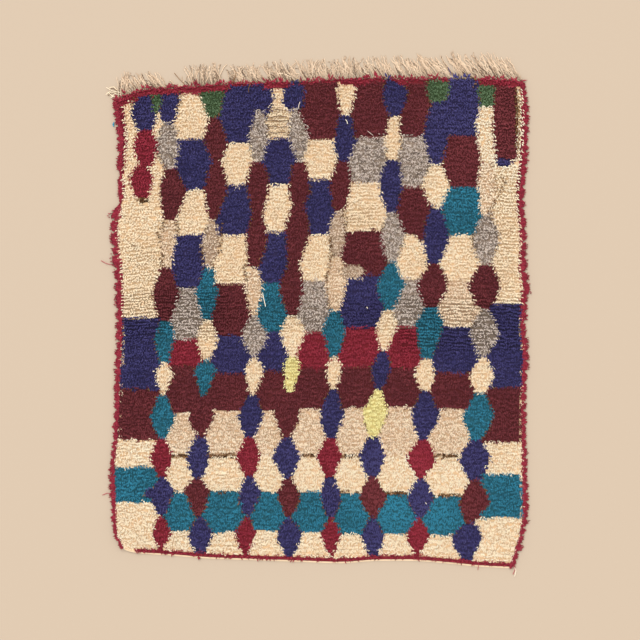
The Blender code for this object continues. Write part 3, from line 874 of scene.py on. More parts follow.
def mesh_piece(name, points, triangles):
    """A new smooth object at the origin from arrays of points and triangles."""
    mesh = bpy.data.meshes.new(name)
    mesh.vertices.add(len(points))
    mesh.vertices.foreach_set("co", np.ascontiguousarray(points, np.float32).ravel())
    mesh.loops.add(3 * len(triangles))
    mesh.loops.foreach_set("vertex_index", np.ascontiguousarray(triangles, np.int32).ravel())
    mesh.polygons.add(len(triangles))
    mesh.polygons.foreach_set("loop_start", np.arange(0, 3 * len(triangles), 3, dtype=np.int32))
    mesh.polygons.foreach_set("use_smooth", np.full(len(triangles), True))
    mesh.update(calc_edges=True)
    piece = bpy.data.objects.new(name, mesh)
    bpy.context.scene.collection.objects.link(piece)
    return piece


def yarn_frames(paths, side):
    """Unit vectors across each yarn at each of its points: one level or given, and one square to it."""
    along = np.gradient(paths, axis=1)
    along /= np.linalg.norm(along, axis=2, keepdims=True)
    if side is None:
        side = np.cross(np.broadcast_to(UP, along.shape), along)
        side /= np.maximum(np.linalg.norm(side, axis=2, keepdims=True), LEAST_LENGTH)
    else:
        side = np.broadcast_to(side, along.shape)
    return side, np.cross(along, side)


def yarns(paths, radii, sides, side=None):
    """Points, triangles and lengthwise fractions of closed yarns along paths, each an array of points.

    Where all radii at a step are nought, the yarns come to a point there.
    """
    count, steps = paths.shape[:2]
    across, over = yarn_frames(paths, side)
    turns = 2 * np.pi * (np.arange(sides) + YARN_TURN) / sides
    ring = across[:, :, None] * np.cos(turns)[:, None] + over[:, :, None] * np.sin(turns)[:, None]
    rings = paths[:, :, None] + ring * radii[..., None, None]
    corners = [1 if not radii[:, step].any() else sides for step in range(steps)]
    starts = np.cumsum([0] + corners)
    points = np.concatenate([rings[:, step, : corners[step]] for step in range(steps)], axis=1)
    one = []
    for step in range(steps - 1):
        for edge in range(sides):
            a, b = (starts[step] + turn % corners[step] for turn in (edge, edge + 1))
            c, d = (starts[step + 1] + turn % corners[step + 1] for turn in (edge, edge + 1))
            one += [(a, b, d)] if corners[step] > 1 else []
            one += [(a, d, c)] if corners[step + 1] > 1 else []
    last = starts[steps - 1]
    if corners[0] > 1:
        one += [(0, edge + 1, edge) for edge in range(1, sides - 1)]
    if corners[-1] > 1:
        one += [(last, last + edge, last + edge + 1) for edge in range(1, sides - 1)]
    triangles = np.array(one)[None] + (np.arange(count) * starts[-1])[:, None, None]
    fractions = np.repeat(np.linspace(0, 1, steps), corners)
    return points.reshape(-1, 3), triangles.reshape(-1, 3), np.tile(fractions, count)


def shade_map(piece, shades, fractions):
    """A UV map: the shade of each yarn, or of each of its points, across, and the place along it upwards."""
    layer = piece.data.uv_layers.new(name=BAKE_MAP)
    corners = np.zeros(len(piece.data.loops), np.int32)
    piece.data.loops.foreach_get("vertex_index", corners)
    spread = np.resize((-UV_SPREAD, 0.0, UV_SPREAD), len(fractions))
    across = np.clip(np.repeat(shades, len(fractions) // len(shades)) + spread, 0, 1)
    places = np.stack([across[corners], fractions[corners]], axis=1)
    layer.data.foreach_set("uv", places.astype(np.float32).ravel())


def add_node(tree, kind, feeds=(), **settings):
    """A new node with these settings, its inputs fed from other nodes' outputs or set to plain values."""
    node = tree.nodes.new(f"ShaderNode{kind}")
    for name, value in settings.items():
        setattr(node, name, value)
    for name, value in dict(feeds).items():
        if isinstance(value, bpy.types.NodeSocket):
            tree.links.new(value, node.inputs[name])
        else:
            node.inputs[name].default_value = value
    return node


def add_ramp(tree, feed, stops):
    """The colour output of a ramp with the given stops, each a place and a colour."""
    node = add_node(tree, "ValToRGB", {"Fac": feed})
    elements = node.color_ramp.elements
    while len(elements) < len(stops):
        elements.new(0.5)
    for element, (place, colour) in zip(elements, stops):
        element.position = place
        element.color = (*colour, 1.0)
    return node.outputs["Color"]


def cloth_material(name, roughness, sheen_tint):
    """A matt cloth material with its node tree, its shader, and its map's places across and upwards."""
    material = bpy.data.materials.new(name)
    material.use_nodes = True
    tree = material.node_tree
    shader = tree.nodes["Principled BSDF"]
    for socket, value in (
        ("Roughness", roughness),
        ("Sheen Weight", CLOTH_SHEEN),
        ("Sheen Roughness", CLOTH_SHEEN_ROUGHNESS),
        ("Sheen Tint", (*sheen_tint, 1.0)),
        ("Specular IOR Level", CLOTH_SPECULAR),
    ):
        shader.inputs[socket].default_value = value
    bake_map = add_node(tree, "UVMap", uv_map=BAKE_MAP)
    parts = add_node(tree, "SeparateXYZ", {"Vector": bake_map.outputs["UV"]})
    return material, tree, shader, parts.outputs["X"], parts.outputs["Y"]


def yarn_material(name, light, plain, deep, roots):
    """Wool whose tint follows each yarn's shade, painted darker at its root as painted shade in the pile."""
    material, tree, shader, shade, along = cloth_material(name, WOOL_ROUGHNESS, light)
    tint = add_ramp(tree, shade, ((0.0, deep), (0.5, plain), (1.0, light)))
    # The roots are painted darker than the tips: painted shade deep in the pile
    lights = (0.0, roots), (WOOL_UPPER, WOOL_UPPER_LIGHT), (1.0, 1.0)
    depth = add_ramp(tree, along, [(up, (share,) * 3) for up, share in lights])
    feeds = {"Factor": 1.0, "A": tint, "B": depth}
    mix = add_node(tree, "Mix", feeds, data_type="RGBA", blend_type="MULTIPLY")
    place = add_node(tree, "TexCoord")
    feeds = {"Vector": place.outputs["Object"], "Scale": FIBRE_SCALE, "Detail": FIBRE_DETAIL}
    fibres = add_node(tree, "TexNoise", feeds)
    feeds = {"Height": fibres.outputs["Fac"], "Strength": FUZZ_STRENGTH, "Distance": FUZZ_DEPTH}
    fuzz = add_node(tree, "Bump", feeds)
    tree.links.new(mix.outputs["Result"], shader.inputs["Base Color"])
    tree.links.new(fuzz.outputs["Normal"], shader.inputs["Normal"])
    return material


def ground_material(cloth):
    """The woven ground, coloured by the chart, with the knots' backs as rows of small beads."""
    material, tree, shader, across, up = cloth_material("woven_ground", GROUND_ROUGHNESS, GROUND_SHEEN)
    colour = add_node(tree, "VertexColor", layer_name=CHART_COLOUR)
    rows = []
    for place, beads in ((across, 2 * cloth.columns), (up, cloth.rows)):
        wave = add_node(tree, "Math", {0: place, 1: math.pi * beads}, operation="MULTIPLY")
        sine = add_node(tree, "Math", {0: wave.outputs[0]}, operation="SINE")
        rows.append(add_node(tree, "Math", {0: sine.outputs[0]}, operation="ABSOLUTE").outputs[0])
    beads = add_node(tree, "Math", dict(enumerate(rows)), operation="MULTIPLY")
    feeds = {"Height": beads.outputs[0], "Strength": BEAD_STRENGTH, "Distance": BEAD_DEPTH}
    bump = add_node(tree, "Bump", feeds)
    tree.links.new(colour.outputs["Color"], shader.inputs["Base Color"])
    tree.links.new(bump.outputs["Normal"], shader.inputs["Normal"])
    return material


def finish_piece(piece, material):
    """Give a piece its material and let it ride on the rug."""
    piece.data.materials.append(material)
    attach(piece, "root")


def drift(x, y, across, along, chance):
    """A number at each place that changes slowly, about -1 to 1, over lengths across and along the rug."""
    total = np.zeros(np.shape(x))
    for _ in range(DRIFT_WAVES):
        turn, phase = chance.uniform(0, 2 * np.pi, 2)
        pace = chance.uniform(*DRIFT_PACE)
        total += np.sin(pace * 2 * np.pi * (x / across * np.cos(turn) + y / along * np.sin(turn)) + phase)
    return total / math.sqrt(DRIFT_WAVES)


def uneven(chance, knots, ends, shared=KNOT_SHARE):
    """Random numbers for the yarn ends, in part shared by the ends of a knot."""
    own = math.sqrt(1 - shared**2)
    return shared * np.repeat(chance.normal(0, 1, knots), ends) + own * chance.normal(0, 1, knots * ends)


def knot_places(outline, pile, chance):
    """Where the knots are tied, as rows of places across the rug: the rows wave a little."""
    length = outline.high.y - outline.low.y
    width = outline.high.x - outline.low.x
    start = (pile.hem + FIRST_ROW) / length
    rows = start + (np.arange(pile.rows) + 0.5) / pile.rows * (1 - start - LAST_ROW / length)
    knots = (np.arange(pile.knots) + 0.5) / pile.knots
    v, u = np.meshgrid(rows, knots, indexing="ij")
    wave = ROW_WAVE * drift(u * width, v * length, ROW_WAVE_LENGTH, ROW_WAVE_LENGTH / 2, chance)
    wave += ROW_RIPPLE * drift(u * width, v * length, ROW_RIPPLE_LENGTH, ROW_RIPPLE_LENGTH, chance)
    inside = np.clip(np.minimum(v - rows[0], rows[-1] - v) * pile.rows / 2, 0, 1)
    x, y = outline.place(u.ravel(), (v + wave * inside / length).ravel())
    return x.reshape(u.shape), y.reshape(u.shape)


def fan_out(wools):
    """Which way each knot is pushed, across and up the rug: away from the middle of its like neighbours."""
    rows, knots = wools.shape
    alike_near = np.zeros(wools.shape)
    push = np.zeros((rows, knots, 2))
    for up in range(-FAN_ROWS, FAN_ROWS + 1):
        for right in range(-FAN_KNOTS, FAN_KNOTS + 1):
            here = slice(max(0, -up), rows - max(0, up)), slice(max(0, -right), knots - max(0, right))
            there = slice(max(0, up), rows + min(0, up)), slice(max(0, right), knots + min(0, right))
            alike = wools[here] == wools[there]
            alike_near[here] += alike
            push[here] -= alike[..., None] * np.array((right / FAN_KNOTS, up / FAN_ROWS))
    return push / alike_near[..., None]


def contour_wools(wools, across, down, ends, chance):
    """Wools of the yarn ends: their knot's, but for brown ends here and there round the figures."""
    of_ends = np.repeat(wools[..., None], ends, axis=2)
    dark = of_wools(wools, "fan") < DARK_FAN
    change = (wools[:, 1:] != wools[:, :-1]) & (dark[:, 1:] == dark[:, :-1])
    likely = np.where(down > CONTOUR_FROM, CONTOUR_CHANCE, CONTOUR_CHANCE_ABOVE)[:, 1:]
    likely = np.where(dark[:, 1:], likely, CONTOUR_CHANCE_LIGHT)
    of_ends[:, 1:, 0][change & (chance.random(change.shape) < likely)] = BROWN
    of_ends[:, :-1, -1][change & (chance.random(change.shape) < likely)] = BROWN
    step = np.diff(across, axis=1, prepend=across[:, :1])[..., None]
    ends_across = across[..., None] + step * ((np.arange(ends) + 0.5) / ends - 0.5)
    for line in BROWN_LINES:
        line_across, line_down = zip(*line)
        off = np.abs(ends_across - np.interp(down, line_down, line_across)[..., None])
        beside = (down >= line_down[0]) & (down <= line_down[-1])
        of_ends[beside[..., None] & (off < BROWN_REACH)] = BROWN
    return of_ends.reshape(-1, ends)


def yarn_ends(root, lean, reach, rise, thick):
    """Paths and radii of cut yarn ends that rise from their roots and lean over, from straight down."""
    lie = np.stack([np.sin(lean), -np.cos(lean), np.zeros(len(lean))], 1)
    paths = [root + lie * (out * reach)[:, None] + UP * (up * rise)[:, None] for out, up, _ in YARN_END]
    return np.stack(paths, axis=1), thick[:, None] * np.array([share for _, _, share in YARN_END])


def pile_ends(outline, pile, ground, chance):
    """Paths, radii, wools and shades of every yarn end of the pile."""
    grid_x, grid_y = knot_places(outline, pile, chance)
    across, down = chart_squares(grid_x, grid_y - SHOWN_SHIFT)
    grid_wools = chart_wools(across, down, chance)
    paint_borders(grid_wools, outline, grid_x, grid_y, across, down, chance)
    push = fan_out(grid_wools).reshape(-1, 2)
    end_wools = contour_wools(grid_wools, across, down, pile.ends, chance)
    lowest, highest = outline.heights(grid_x.ravel(), grid_y.ravel())
    tied, ends = highest > 0, pile.ends
    knots = np.count_nonzero(tied)
    count = ends * knots
    wools = end_wools[tied].ravel()
    x, y, down = (np.repeat(grid.ravel()[tied], ends) for grid in (grid_x, grid_y, down))
    push, lowest, highest = (np.repeat(value[tied], ends, axis=0) for value in (push, lowest, highest))
    loose, fan = of_wools(wools, "loose"), of_wools(wools, "fan")

    gap = (outline.high.x - outline.low.x) / pile.knots
    share = np.tile((np.arange(ends) + 0.5) / ends - 0.5, knots)
    root_x = x + gap * (share + chance.uniform(-KNOT_JITTER, KNOT_JITTER, count) / ends)
    close = CLOSE * np.clip((down - CLOSE_FROM) / FADE_OVER, 0, 1)
    open_here = parted(*chart_squares(root_x, y - SHOWN_SHIFT))
    wear = worn(*chart_squares(root_x, y)) * (fan < DARK_FAN)
    from_bottom = y - np.interp(root_x, *outline.bottom)
    at_hem = from_bottom < HEM_ROWS
    shift = KNOT_SHIFT * np.where(fan < DARK_FAN, 1 + DARK_SHIFT, 1 + CLOSE_SHIFT * close)
    shift *= (1 - PARTED_STRAIGHT * open_here) * np.where(at_hem, HEM_SHIFT, 1)
    shift *= 1 + LOOSE_SHIFT * (loose - 1)
    root_y = y + shift * uneven(chance, knots, ends)
    root_z = lowest + KNOT_DEPTH * ground.thickness

    strays = np.stack([uneven(chance, knots, ends) for _ in range(2)], 1)
    locks = np.stack([drift(root_x, root_y, *lengths, chance) for lengths in LOCK_LENGTHS], 1)
    lie = LIE + FAN * (fan * (1 - close))[:, None] * push
    lie += LOCK * locks + pile.stray * loose[:, None] * strays * STRAY
    lie[:, 0] += SPLAY * (1 + SPLAY_FAN * fan) * np.sign(share) * (1 - close)
    lie[:, 0] = lie[:, 0].clip(-SIDE_MOST, SIDE_MOST)
    lie[:, 1] *= 1 - FLATTEN * fan
    swell = drift(root_x, root_y, RIM_WAVE, RIM_WAVE, chance)
    near_top = np.clip(1 - (np.interp(root_x, *outline.top) - root_y) / RIM_ROW, 0, 1)
    lie[:, 0] += RIM_SPREAD * near_top * chance.normal(0, 1, count)
    lie[:, 1] += near_top * (RIM_LIE + RIM_SWELL * swell + RIM_STRAY * chance.normal(0, 1, count))
    bare = from_bottom < BARE_ROWS
    lie[bare, 1] = np.maximum(lie[bare, 1], BARE_LIE)
    lie[at_hem, 1] = -chance.uniform(*HEM_LIE, np.count_nonzero(at_hem))

    lean = np.arctan2(lie[:, 0], -lie[:, 1])
    far = np.clip(np.linalg.norm(lie, axis=1), *REACH_LIMITS)
    far *= (1 - PARTED_SHORT * open_here) * (1 + FAR_SPREAD * uneven(chance, knots, ends))
    far *= 1 + LOOSE_REACH * (loose - 1)
    top = highest + loose * HEIGHT_SPREAD * (1 - WORN_EVEN * wear) * uneven(chance, knots, ends)
    rise = (top - root_z - pile.radius) * (1 - DROOP * np.minimum(far, DROOP_MOST) ** 2)
    rise = rise * (1 - WORN_LOW * wear)
    rise = np.maximum(rise + LIGHT_LIFT * fan, LEAST_RISE) + CONTOUR_LIFT * (wools == BROWN)
    thick = pile.radius * chance.uniform(*THICKNESS_LIMITS, count) * (1 + RIM_THICK * near_top)
    thick *= (1 - LOOSE_THIN * (loose - 1)) * np.where(at_hem, HEM_THICK, 1)
    paths, radii = yarn_ends(np.stack([root_x, root_y, root_z], 1), lean, pile.reach * far, rise, thick)

    spread = of_wools(wools, "spread") * (1 - WORN_EVEN * wear)
    shades = PLAIN_SHADE + spread * uneven(chance, knots, ends, KNOT_SHARE_SHADE)
    shades += SHADE_DRIFT * drift(root_x, root_y, SHADE_LENGTH, SHADE_LENGTH, chance)
    shades += faded(*chart_squares(root_x, root_y)) * (wools != CRIMSON)
    shades += WORN_PALE * wear
    return paths, radii, wools, np.clip(shades, *SHADE_LIMITS)


class RUG_OT_knot_pile(bpy.types.Operator):
    """Knot the pile, one piece for each wool"""

    bl_idname = "rug.knot_pile"
    bl_label = "Knot the pile"

    def execute(self, context):
        chance = np.random.default_rng(PILE_SEED)
        pile, ground = context.scene.rug_pile, context.scene.rug_ground
        paths, radii, wools, shades = pile_ends(Outline("rug_body"), pile, ground, chance)
        for number, (name, wool) in enumerate(WOOLS.items()):
            mine = np.flatnonzero(wools == number)
            parts = max(1, math.ceil(len(mine) * TUFT_TRIANGLES / MOST_TRIANGLES))
            tints = [linear(colour) for colour in (wool.light, wool.plain, wool.deep)]
            material = yarn_material(f"{name}_wool", *tints, roots=wool.roots)
            for part, chosen in enumerate(np.array_split(mine, parts)):
                points, triangles, fractions = yarns(paths[chosen], radii[chosen], TUFT_SIDES)
                label = f"pile_{name}" if parts == 1 else f"pile_{name}_{part + 1}"
                piece = mesh_piece(label, points, triangles)
                shade_map(piece, shades[chosen], fractions)
                finish_piece(piece, material)
        return {"FINISHED"}


def ground_colours(centres, outline, pile):
    """Colours of the ground's faces: the knots' backs, darkened as painted shade, and the hem's own."""
    chance = np.random.default_rng(GROUND_SEED)
    x, y = centres[:, 0], centres[:, 1]
    across, down = chart_squares(x, y)
    wools = chart_wools(across, down, chance)
    paint_borders(wools, outline, x, y, across, down, chance)
    hem = y - np.interp(x, *outline.bottom) < pile.hem
    wools[hem] = len(WOOL_ORDER)
    # Painted shade: the ground between the tufts is darker, and darker still where the rows have parted
    shade_and_tones = chance.uniform(*GROUND_SHADE_TONES, len(wools)) * (1 - PARTED_SHADE * parted(across, down))
    shade_and_tones = shade_and_tones[:, None] * np.array(GROUND_TINT)
    shade_and_tones[hem] = 1.0
    # Between plain and deep: darker than the wool, as painted shade between the tufts
    backs = [np.add(linear(wool.plain), linear(wool.deep)) / 2 for wool in WOOLS.values()]
    return np.array([*backs, linear(HEM_COLOUR)])[wools] * shade_and_tones


class RUG_OT_weave_ground(bpy.types.Operator):
    """Weave the ground that the knots are tied on"""

    bl_idname = "rug.weave_ground"
    bl_label = "Weave the ground"

    def execute(self, context):
        pile, cloth = context.scene.rug_pile, context.scene.rug_ground
        outline = Outline("rug_body")
        bm = bmesh.new()
        bmesh.ops.create_grid(bm, x_segments=cloth.columns, y_segments=cloth.rows, size=0.5, calc_uvs=False)
        u, v = np.array([vertex.co[:2] for vertex in bm.verts]).T + 0.5
        hem = pile.hem / (outline.high.y - outline.low.y)
        v = np.interp(v, (0, 1 / cloth.rows, 1), (0, hem, 1))
        x, y = outline.place(u, v)
        inside = (np.clip(share, GROUND_INSET, 1 - GROUND_INSET) for share in (u, v))
        lowest = outline.heights(*outline.place(*inside))[0]
        for vertex, at_x, at_y, at_z in zip(bm.verts, x, y, lowest):
            vertex.co = (at_x, at_y, at_z + cloth.thickness)
        bm.verts.index_update()
        centres = np.array([face.calc_center_median() for face in bm.faces])
        layer = bm.loops.layers.uv.new(BAKE_MAP)
        colours = bm.loops.layers.float_color.new(CHART_COLOUR)
        for face, colour in zip(bm.faces, ground_colours(centres, outline, pile)):
            for loop in face.loops:
                loop[layer].uv = (u[loop.vert.index], v[loop.vert.index])
                loop[colours] = (*colour, 1.0)
        mesh = bpy.data.meshes.new("ground")
        bm.to_mesh(mesh)
        bm.free()
        ground = bpy.data.objects.new("ground", mesh)
        context.scene.collection.objects.link(ground)
        thick = ground.modifiers.new("thickness", "SOLIDIFY")
        thick.thickness = cloth.thickness
        thick.offset = -1.0
        finish_piece(ground, ground_material(cloth))
        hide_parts("rug_body")
        return {"FINISHED"}


def block_ends(side, places, downs, chance):
    """Where the blocks of turns end along a side: at its known notches, and by chance past them."""
    known = np.sort(np.interp(NOTCHES[side], downs[::-1], places[::-1]))
    ends = [places[0]]
    while ends[-1] < places[-1]:
        step = ends[-1] + chance.uniform(*BLOCK_LENGTHS)
        if known[0] - BLOCK_LENGTHS[0] < step < known[-1] + BLOCK_LENGTHS[0]:
            ends += list(known)
            step = known[-1] + chance.uniform(*BLOCK_LENGTHS)
        ends.append(step)
    return np.array(ends)


def block_fullness(side, places, downs, chance):
    """How full the binding is at places along it: a swell for each block of turns, a notch between two."""
    ends = block_ends(side, places, downs, chance)
    number = np.clip(np.searchsorted(ends, places, side="right") - 1, 0, len(ends) - 2)
    within = (places - ends[number]) / (ends[number + 1] - ends[number])
    swell = np.clip(BLOCK_SWELL * np.sin(np.pi * np.clip(within, 0, 1)), 0, 1)
    size = chance.uniform(*BLOCK_SIZES, len(ends) - 1)
    return (1 - BLOCK_NOTCH + BLOCK_NOTCH * swell) * size[number]


def bind_turns(side, outwards, binding, material, chance):
    """One side's turns of wool. Returns where they lie: inner edge, place, height, width and fullness."""
    node = f"selvedge_{side}"
    rim = Outline(node)
    low, high = rim.low.y + binding.radius, rim.high.y - binding.radius
    y = np.linspace(low, high, round((high - low) / binding.pitch))
    outer = np.interp(y, *(rim.left if outwards < 0 else rim.right))
    inner = np.interp(y, *(rim.right if outwards < 0 else rim.left))
    lift = rim.heights((outer + inner) / 2, y)[0]
    downs = chart_squares(outer, y)[1]
    stations, outs, withins = zip(*SPREADS[side])
    outer = outer + outwards * SQUARE * np.interp(downs, stations, outs)
    inner = inner - outwards * SQUARE * np.interp(downs, stations, withins)
    whole = np.abs(outer - inner)
    fullness = block_fullness(side, y, downs, chance)
    width = whole * fullness
    inner = inner + outwards * 0.5 * (whole - width) * chance.uniform(0, 1, len(y))

    paths = np.zeros((len(y), len(TURN_ROUND_EDGE), 3))
    slant = chance.normal(0, TURN_SLANT, len(y))
    for step, (out, up) in enumerate(TURN_ROUND_EDGE):
        paths[:, step, 0] = inner + outwards * out * TURN_WIDTH * (width - binding.radius)
        paths[:, step, 1] = y + slant * (out - 0.5)
        paths[:, step, 2] = lift + binding.radius + up * (TURN_HEIGHT - TURN_TUCK * binding.radius)
    thick = binding.radius * chance.uniform(*THICKNESS_LIMITS, len(y))
    radii = np.repeat(thick[:, None], len(TURN_ROUND_EDGE), axis=1)
    points, triangles, fractions = yarns(paths, radii, TURN_SIDES, side=np.array((0.0, outwards, 0.0)))
    plain, spread = TURN_SHADE
    shades = np.clip(plain + spread * chance.normal(0, 1, len(y)), *SHADE_LIMITS)
    piece = mesh_piece(f"binding_{side}", points, triangles)
    # A turn is painted darker at both ends, where it goes in under the side: painted shade
    shade_map(piece, shades, TURN_FROM + (1 - TURN_FROM) * np.sin(np.pi * fractions))
    finish_piece(piece, material)
    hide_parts(node)
    return inner, y, lift, width, fullness


def bind_loose_ends(side, outwards, laid, material, chance):
    """One side's loose ends of wool, a few across each turn."""
    ends = len(EDGE_TUFTS)
    inner, y, lift, width, fullness = (np.repeat(value, ends) for value in laid)
    count = len(y)
    place = np.tile(EDGE_TUFTS, count // ends) + chance.normal(0, EDGE_JITTER, count)
    root_y = y + chance.normal(0, EDGE_SHIFT, count)
    root_x = inner + outwards * place * (width - EDGE_INSET)
    root = np.stack([root_x, root_y, lift + EDGE_LIFT], 1)
    sideways = EDGE_LEAN * np.clip(place, 0, 1) ** EDGE_LEAN_POWER - EDGE_LEAN_BACK
    lean = outwards * (sideways + EDGE_STRAY * chance.normal(0, 1, count))
    reach = np.interp(place, *EDGE_REACH) * MM * chance.uniform(*EDGE_REACH_LIMITS, count)
    reach *= fullness
    rise = np.interp(place, *EDGE_RISE) * MM
    thick = EDGE_RADIUS * chance.uniform(*EDGE_RADIUS_LIMITS, count)
    points, triangles, fractions = yarns(*yarn_ends(root, lean, reach, rise, thick), TUFT_SIDES)
    piece = mesh_piece(f"binding_ends_{side}", points, triangles)
    plain, spread = EDGE_SHADE
    shade_map(piece, np.clip(plain + spread * chance.normal(0, 1, count), *SHADE_LIMITS), fractions)
    finish_piece(piece, material)


class RUG_OT_bind_sides(bpy.types.Operator):
    """Overcast both long sides with turns of crimson wool"""

    bl_idname = "rug.bind_sides"
    bl_label = "Overcast the sides"

    def execute(self, context):
        binding = context.scene.rug_binding
        chance = np.random.default_rng(BINDING_SEED)
        light, deep = linear(WOOLS["crimson"].light), linear(WOOLS["crimson"].deep)
        material = yarn_material("binding_wool", light, tuple(binding.colour), deep, BINDING_ROOT_SHADE)
        for side, outwards in (("left", -1.0), ("right", 1.0)):
            laid = bind_turns(side, outwards, binding, material, chance)
            bind_loose_ends(side, outwards, laid, material, chance)
        return {"FINISHED"}


class RUG_OT_lay_fringe(bpy.types.Operator):
    """Lay out the cut warp ends at the top of the rug"""

    bl_idname = "rug.lay_fringe"
    bl_label = "Lay the fringe"

    def execute(self, context):
        warp = context.scene.rug_fringe
        chance = np.random.default_rng(FRINGE_SEED)
        outline = Outline("rug_body")
        count = warp.ends
        bundle = np.arange(count) // FRINGE_BUNDLE

        def own():
            """A random number for each warp end."""
            return chance.normal(0, 1, count)

        x = np.linspace(outline.low.x + FRINGE_INSET, outline.high.x - FRINGE_INSET, count)
        x = x + chance.uniform(-MM, MM, count)
        root_y = np.interp(x, *outline.top) - chance.uniform(0, FRINGE_ROOTS, count)
        across = from_middle(x, 0)[0]
        along, lengths, leans, wholes, strays = (np.array(column) for column in zip(*FRINGE_LIE))
        length, lean, whole, stray = (
            np.interp(across, along * MM, values) for values in (lengths * MM, leans, wholes, strays)
        )
        length = (length + FRINGE_ROOTS) * (1 + FRINGE_LENGTH_SPREAD * own().clip(*FRINGE_LENGTHS))
        length *= np.where(chance.random(count) < whole, 1, FRINGE_BROKEN)
        # Some short ends are painted nearly black: painted shadow between the warp ends
        dark = chance.random(count) < SHADOW_ENDS
        length *= np.where(dark, chance.uniform(*SHADOW_END_LENGTHS, count), 1)
        stray = np.radians(stray)
        lean = np.radians(lean) + stray * (own()[bundle] + FRINGE_OWN_STRAY * own())
        bend = FRINGE_BEND * stray * own()[bundle] + FRINGE_OWN_BEND * own()
        waves = FRINGE_WAVE * own()[bundle] + FRINGE_WAVE_STRAY * stray * own()
        phase = chance.uniform(0, 2 * np.pi, count)[bundle]
        curl = FRINGE_CURL * stray * own()

        steps = np.linspace(0, 1, FRINGE_STEPS)
        heading = lean[:, None] + bend[:, None] * (steps - FRINGE_STRAIGHT) + curl[:, None] * steps**3
        heading += waves[:, None] * np.sin(FRINGE_WAVES * steps + phase[:, None])
        stride = length[:, None] / (FRINGE_STEPS - 1)
        paths = np.zeros((count, FRINGE_STEPS, 3))
        paths[:, 0, 0], paths[:, 0, 1] = x, root_y
        paths[:, 1:, 0] = x[:, None] - np.cumsum(np.sin(heading[:, 1:]) * stride, axis=1)
        paths[:, 1:, 1] = root_y[:, None] + np.cumsum(np.cos(heading[:, 1:]) * stride, axis=1)
        thick = warp.radius * chance.uniform(*FRINGE_THICKNESS, count)
        radii = thick[:, None] * np.interp(steps, (FRINGE_TIP_FROM, 1), (1, FRINGE_TIP))
        layer = chance.uniform(0, FRINGE_LAYERS, count)
        layer[dark] = FRINGE_LAYERS
        settle = np.exp(-FRINGE_SETTLE * steps) * FRINGE_ROOT_LIFT
        paths[:, :, 2] = radii + layer[:, None] * (1 - FRINGE_SINK * steps) + settle
        points, triangles, fractions = yarns(paths, radii, FRINGE_SIDES)
        piece = mesh_piece("warp_ends", points, triangles)

        # Lower layers are painted darker as painted shade under the upper warp ends
        shades = FRINGE_SHADE + FRINGE_LAYER_SHADE * layer / MM + FRINGE_SHADE_SPREAD * own()
        shades[dark] = SHADOW_END_SHADE
        # Plies: bands of painted light and shade along each warp end
        shades = shades[:, None] + PLY_SHADE * np.sin(PLIES * steps + phase[:, None])
        shades = np.repeat(np.clip(shades, *SHADE_LIMITS), FRINGE_SIDES, axis=1).ravel()
        # The warp ends' roots are painted darker: painted shade
        shade_map(piece, shades, WARP_FROM + (1 - WARP_FROM) * fractions)
        tints = linear(WARP_LIGHT), tuple(warp.colour), linear(WARP_DEEP)
        finish_piece(piece, yarn_material("warp_wool", *tints, roots=WARP_ROOT_SHADE))
        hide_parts("fringe")
        return {"FINISHED"}


class RUG_OT_lay_threads(bpy.types.Operator):
    """Lay the single threads that have worked loose"""

    bl_idname = "rug.lay_threads"
    bl_label = "Lay the loose threads"

    def execute(self, context):
        body = Outline("rug_body")
        zero_x, zero_y = (float(value) for value in chart_squares(0.0, 0.0))
        for name in dict.fromkeys(thread.wool for thread in THREADS):
            paths = []
            mine = [thread for thread in THREADS if thread.wool == name]
            for thread in mine:
                places = np.array(thread.places)
                at = np.linspace(0, len(places) - 1, THREAD_STEPS)
                across, down = (np.interp(at, range(len(places)), places[:, axis]) for axis in (0, 1))
                x, y = (across - zero_x) * SQUARE, (zero_y - down) * SQUARE
                z = np.maximum(body.heights(x, y)[1], THREAD_LOW) + THREAD_RADIUS + THREAD_LIFT
                paths.append(np.stack([x, y, z], 1))
            radii = np.repeat([[thread.thick * THREAD_RADIUS] for thread in mine], THREAD_STEPS, axis=1)
            points, triangles, fractions = yarns(np.array(paths), radii, THREAD_SIDES)
            piece = mesh_piece(f"threads_{name}", points, triangles)
            shades = np.array([thread.shade for thread in mine])
            shade_map(piece, shades, THREAD_FROM + (1 - THREAD_FROM) * fractions)
            finish_piece(piece, bpy.data.materials[f"{name}_wool"])
        return {"FINISHED"}


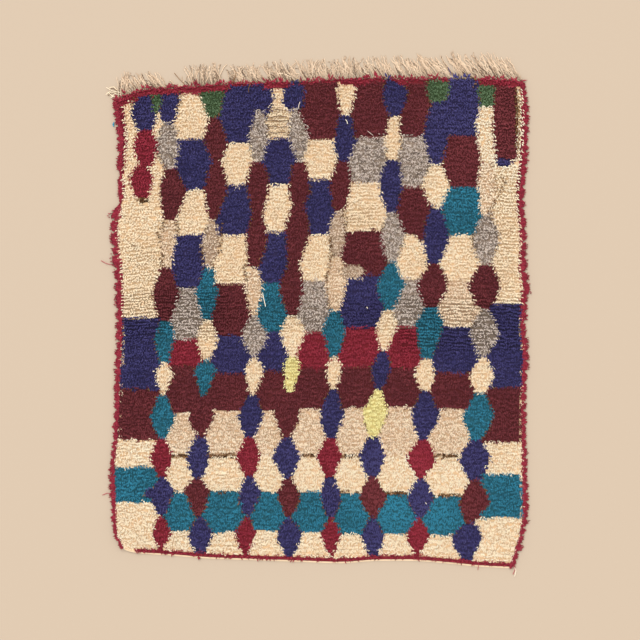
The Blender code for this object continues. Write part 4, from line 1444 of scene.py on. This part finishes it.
class RUG_OT_set_stage(bpy.types.Operator):
    """Set the floor, the lights and the camera over the rug"""

    bl_idname = "rug.set_stage"
    bl_label = "Set the stage"

    def execute(self, context):
        stage = context.scene.rug_stage
        plain = bpy.data.materials.new("pale_floor")
        plain.use_nodes = True
        shader = plain.node_tree.nodes["Principled BSDF"]
        shader.inputs["Base Color"].default_value = (*stage.floor, 1.0)
        shader.inputs["Roughness"].default_value = FLOOR_ROUGHNESS
        bm = bmesh.new()
        bmesh.ops.create_grid(bm, x_segments=1, y_segments=1, size=FLOOR_HALF)
        mesh = bpy.data.meshes.new("floor")
        bm.to_mesh(mesh)
        bm.free()
        mesh.materials.append(plain)
        floor = bpy.data.objects.new("floor", mesh)
        floor.location.z = -FLOOR_DROP
        context.scene.collection.objects.link(floor)

        key = bpy.data.lights.new("key", "SUN")
        key.energy = stage.key
        key.angle = stage.softness
        key.color = KEY_COLOUR
        lamp = bpy.data.objects.new("key", key)
        lamp.rotation_euler = (-Vector(KEY_FROM)).to_track_quat("-Z", "Y").to_euler()
        world = bpy.data.worlds.new("room")
        world.use_nodes = True
        world.node_tree.nodes["Background"].inputs["Color"].default_value = ROOM_COLOUR
        world.node_tree.nodes["Background"].inputs["Strength"].default_value = stage.fill
        context.scene.world = world
        context.scene.view_settings.view_transform = "Standard"

        lens = bpy.data.cameras.new("camera")
        lens.sensor_width = SENSOR
        lens.sensor_fit = "HORIZONTAL"
        lens.lens = SENSOR * stage.distance / (FRAME_SQUARES * SQUARE)
        lens.clip_end = VIEW_END
        camera = bpy.data.objects.new("camera", lens)
        middle = FRAME_SQUARES / 2
        at_x = (middle - MIDDLE_SQUARE[0]) * SQUARE - SIDE_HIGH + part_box("selvedge_right")[1].x
        at_y = (MIDDLE_SQUARE[1] - middle) * SQUARE - GROUND_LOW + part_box("rug_body")[0].y
        camera.location = (at_x, at_y, stage.distance + CAMERA_LIFT)
        for made in (lamp, camera):
            context.scene.collection.objects.link(made)
        context.scene.camera = camera
        return {"FINISHED"}


GROUPS = {
    "rug_pile": PileSettings,
    "rug_ground": GroundSettings,
    "rug_binding": BindingSettings,
    "rug_fringe": FringeSettings,
    "rug_stage": StageSettings,
}
OPERATORS = (
    RUG_OT_knot_pile,
    RUG_OT_bind_sides,
    RUG_OT_lay_fringe,
    RUG_OT_lay_threads,
    RUG_OT_weave_ground,
    RUG_OT_set_stage,
)


class RUG_PT_panel(bpy.types.Panel):
    """The rug's sizes, colours and steps"""

    bl_label = "Rug"
    bl_space_type = "VIEW_3D"
    bl_region_type = "UI"
    bl_category = "Rug"

    def draw(self, context):
        for group in GROUPS:
            box = self.layout.box()
            for name in GROUPS[group].__annotations__:
                box.prop(getattr(context.scene, group), name)
        for operator in OPERATORS:
            self.layout.operator(operator.bl_idname)


def register():
    for made in (*GROUPS.values(), *OPERATORS, RUG_PT_panel):
        bpy.utils.register_class(made)
    for name, group in GROUPS.items():
        setattr(bpy.types.Scene, name, PointerProperty(type=group))


def unregister():
    for name in GROUPS:
        delattr(bpy.types.Scene, name)
    for made in reversed((*GROUPS.values(), *OPERATORS, RUG_PT_panel)):
        bpy.utils.unregister_class(made)


def main():
    register()
    bpy.ops.rug.knot_pile()
    bpy.ops.rug.bind_sides()
    bpy.ops.rug.lay_fringe()
    bpy.ops.rug.lay_threads()
    bpy.ops.rug.weave_ground()
    bpy.ops.rug.set_stage()


if __name__ == "__main__":
    main()
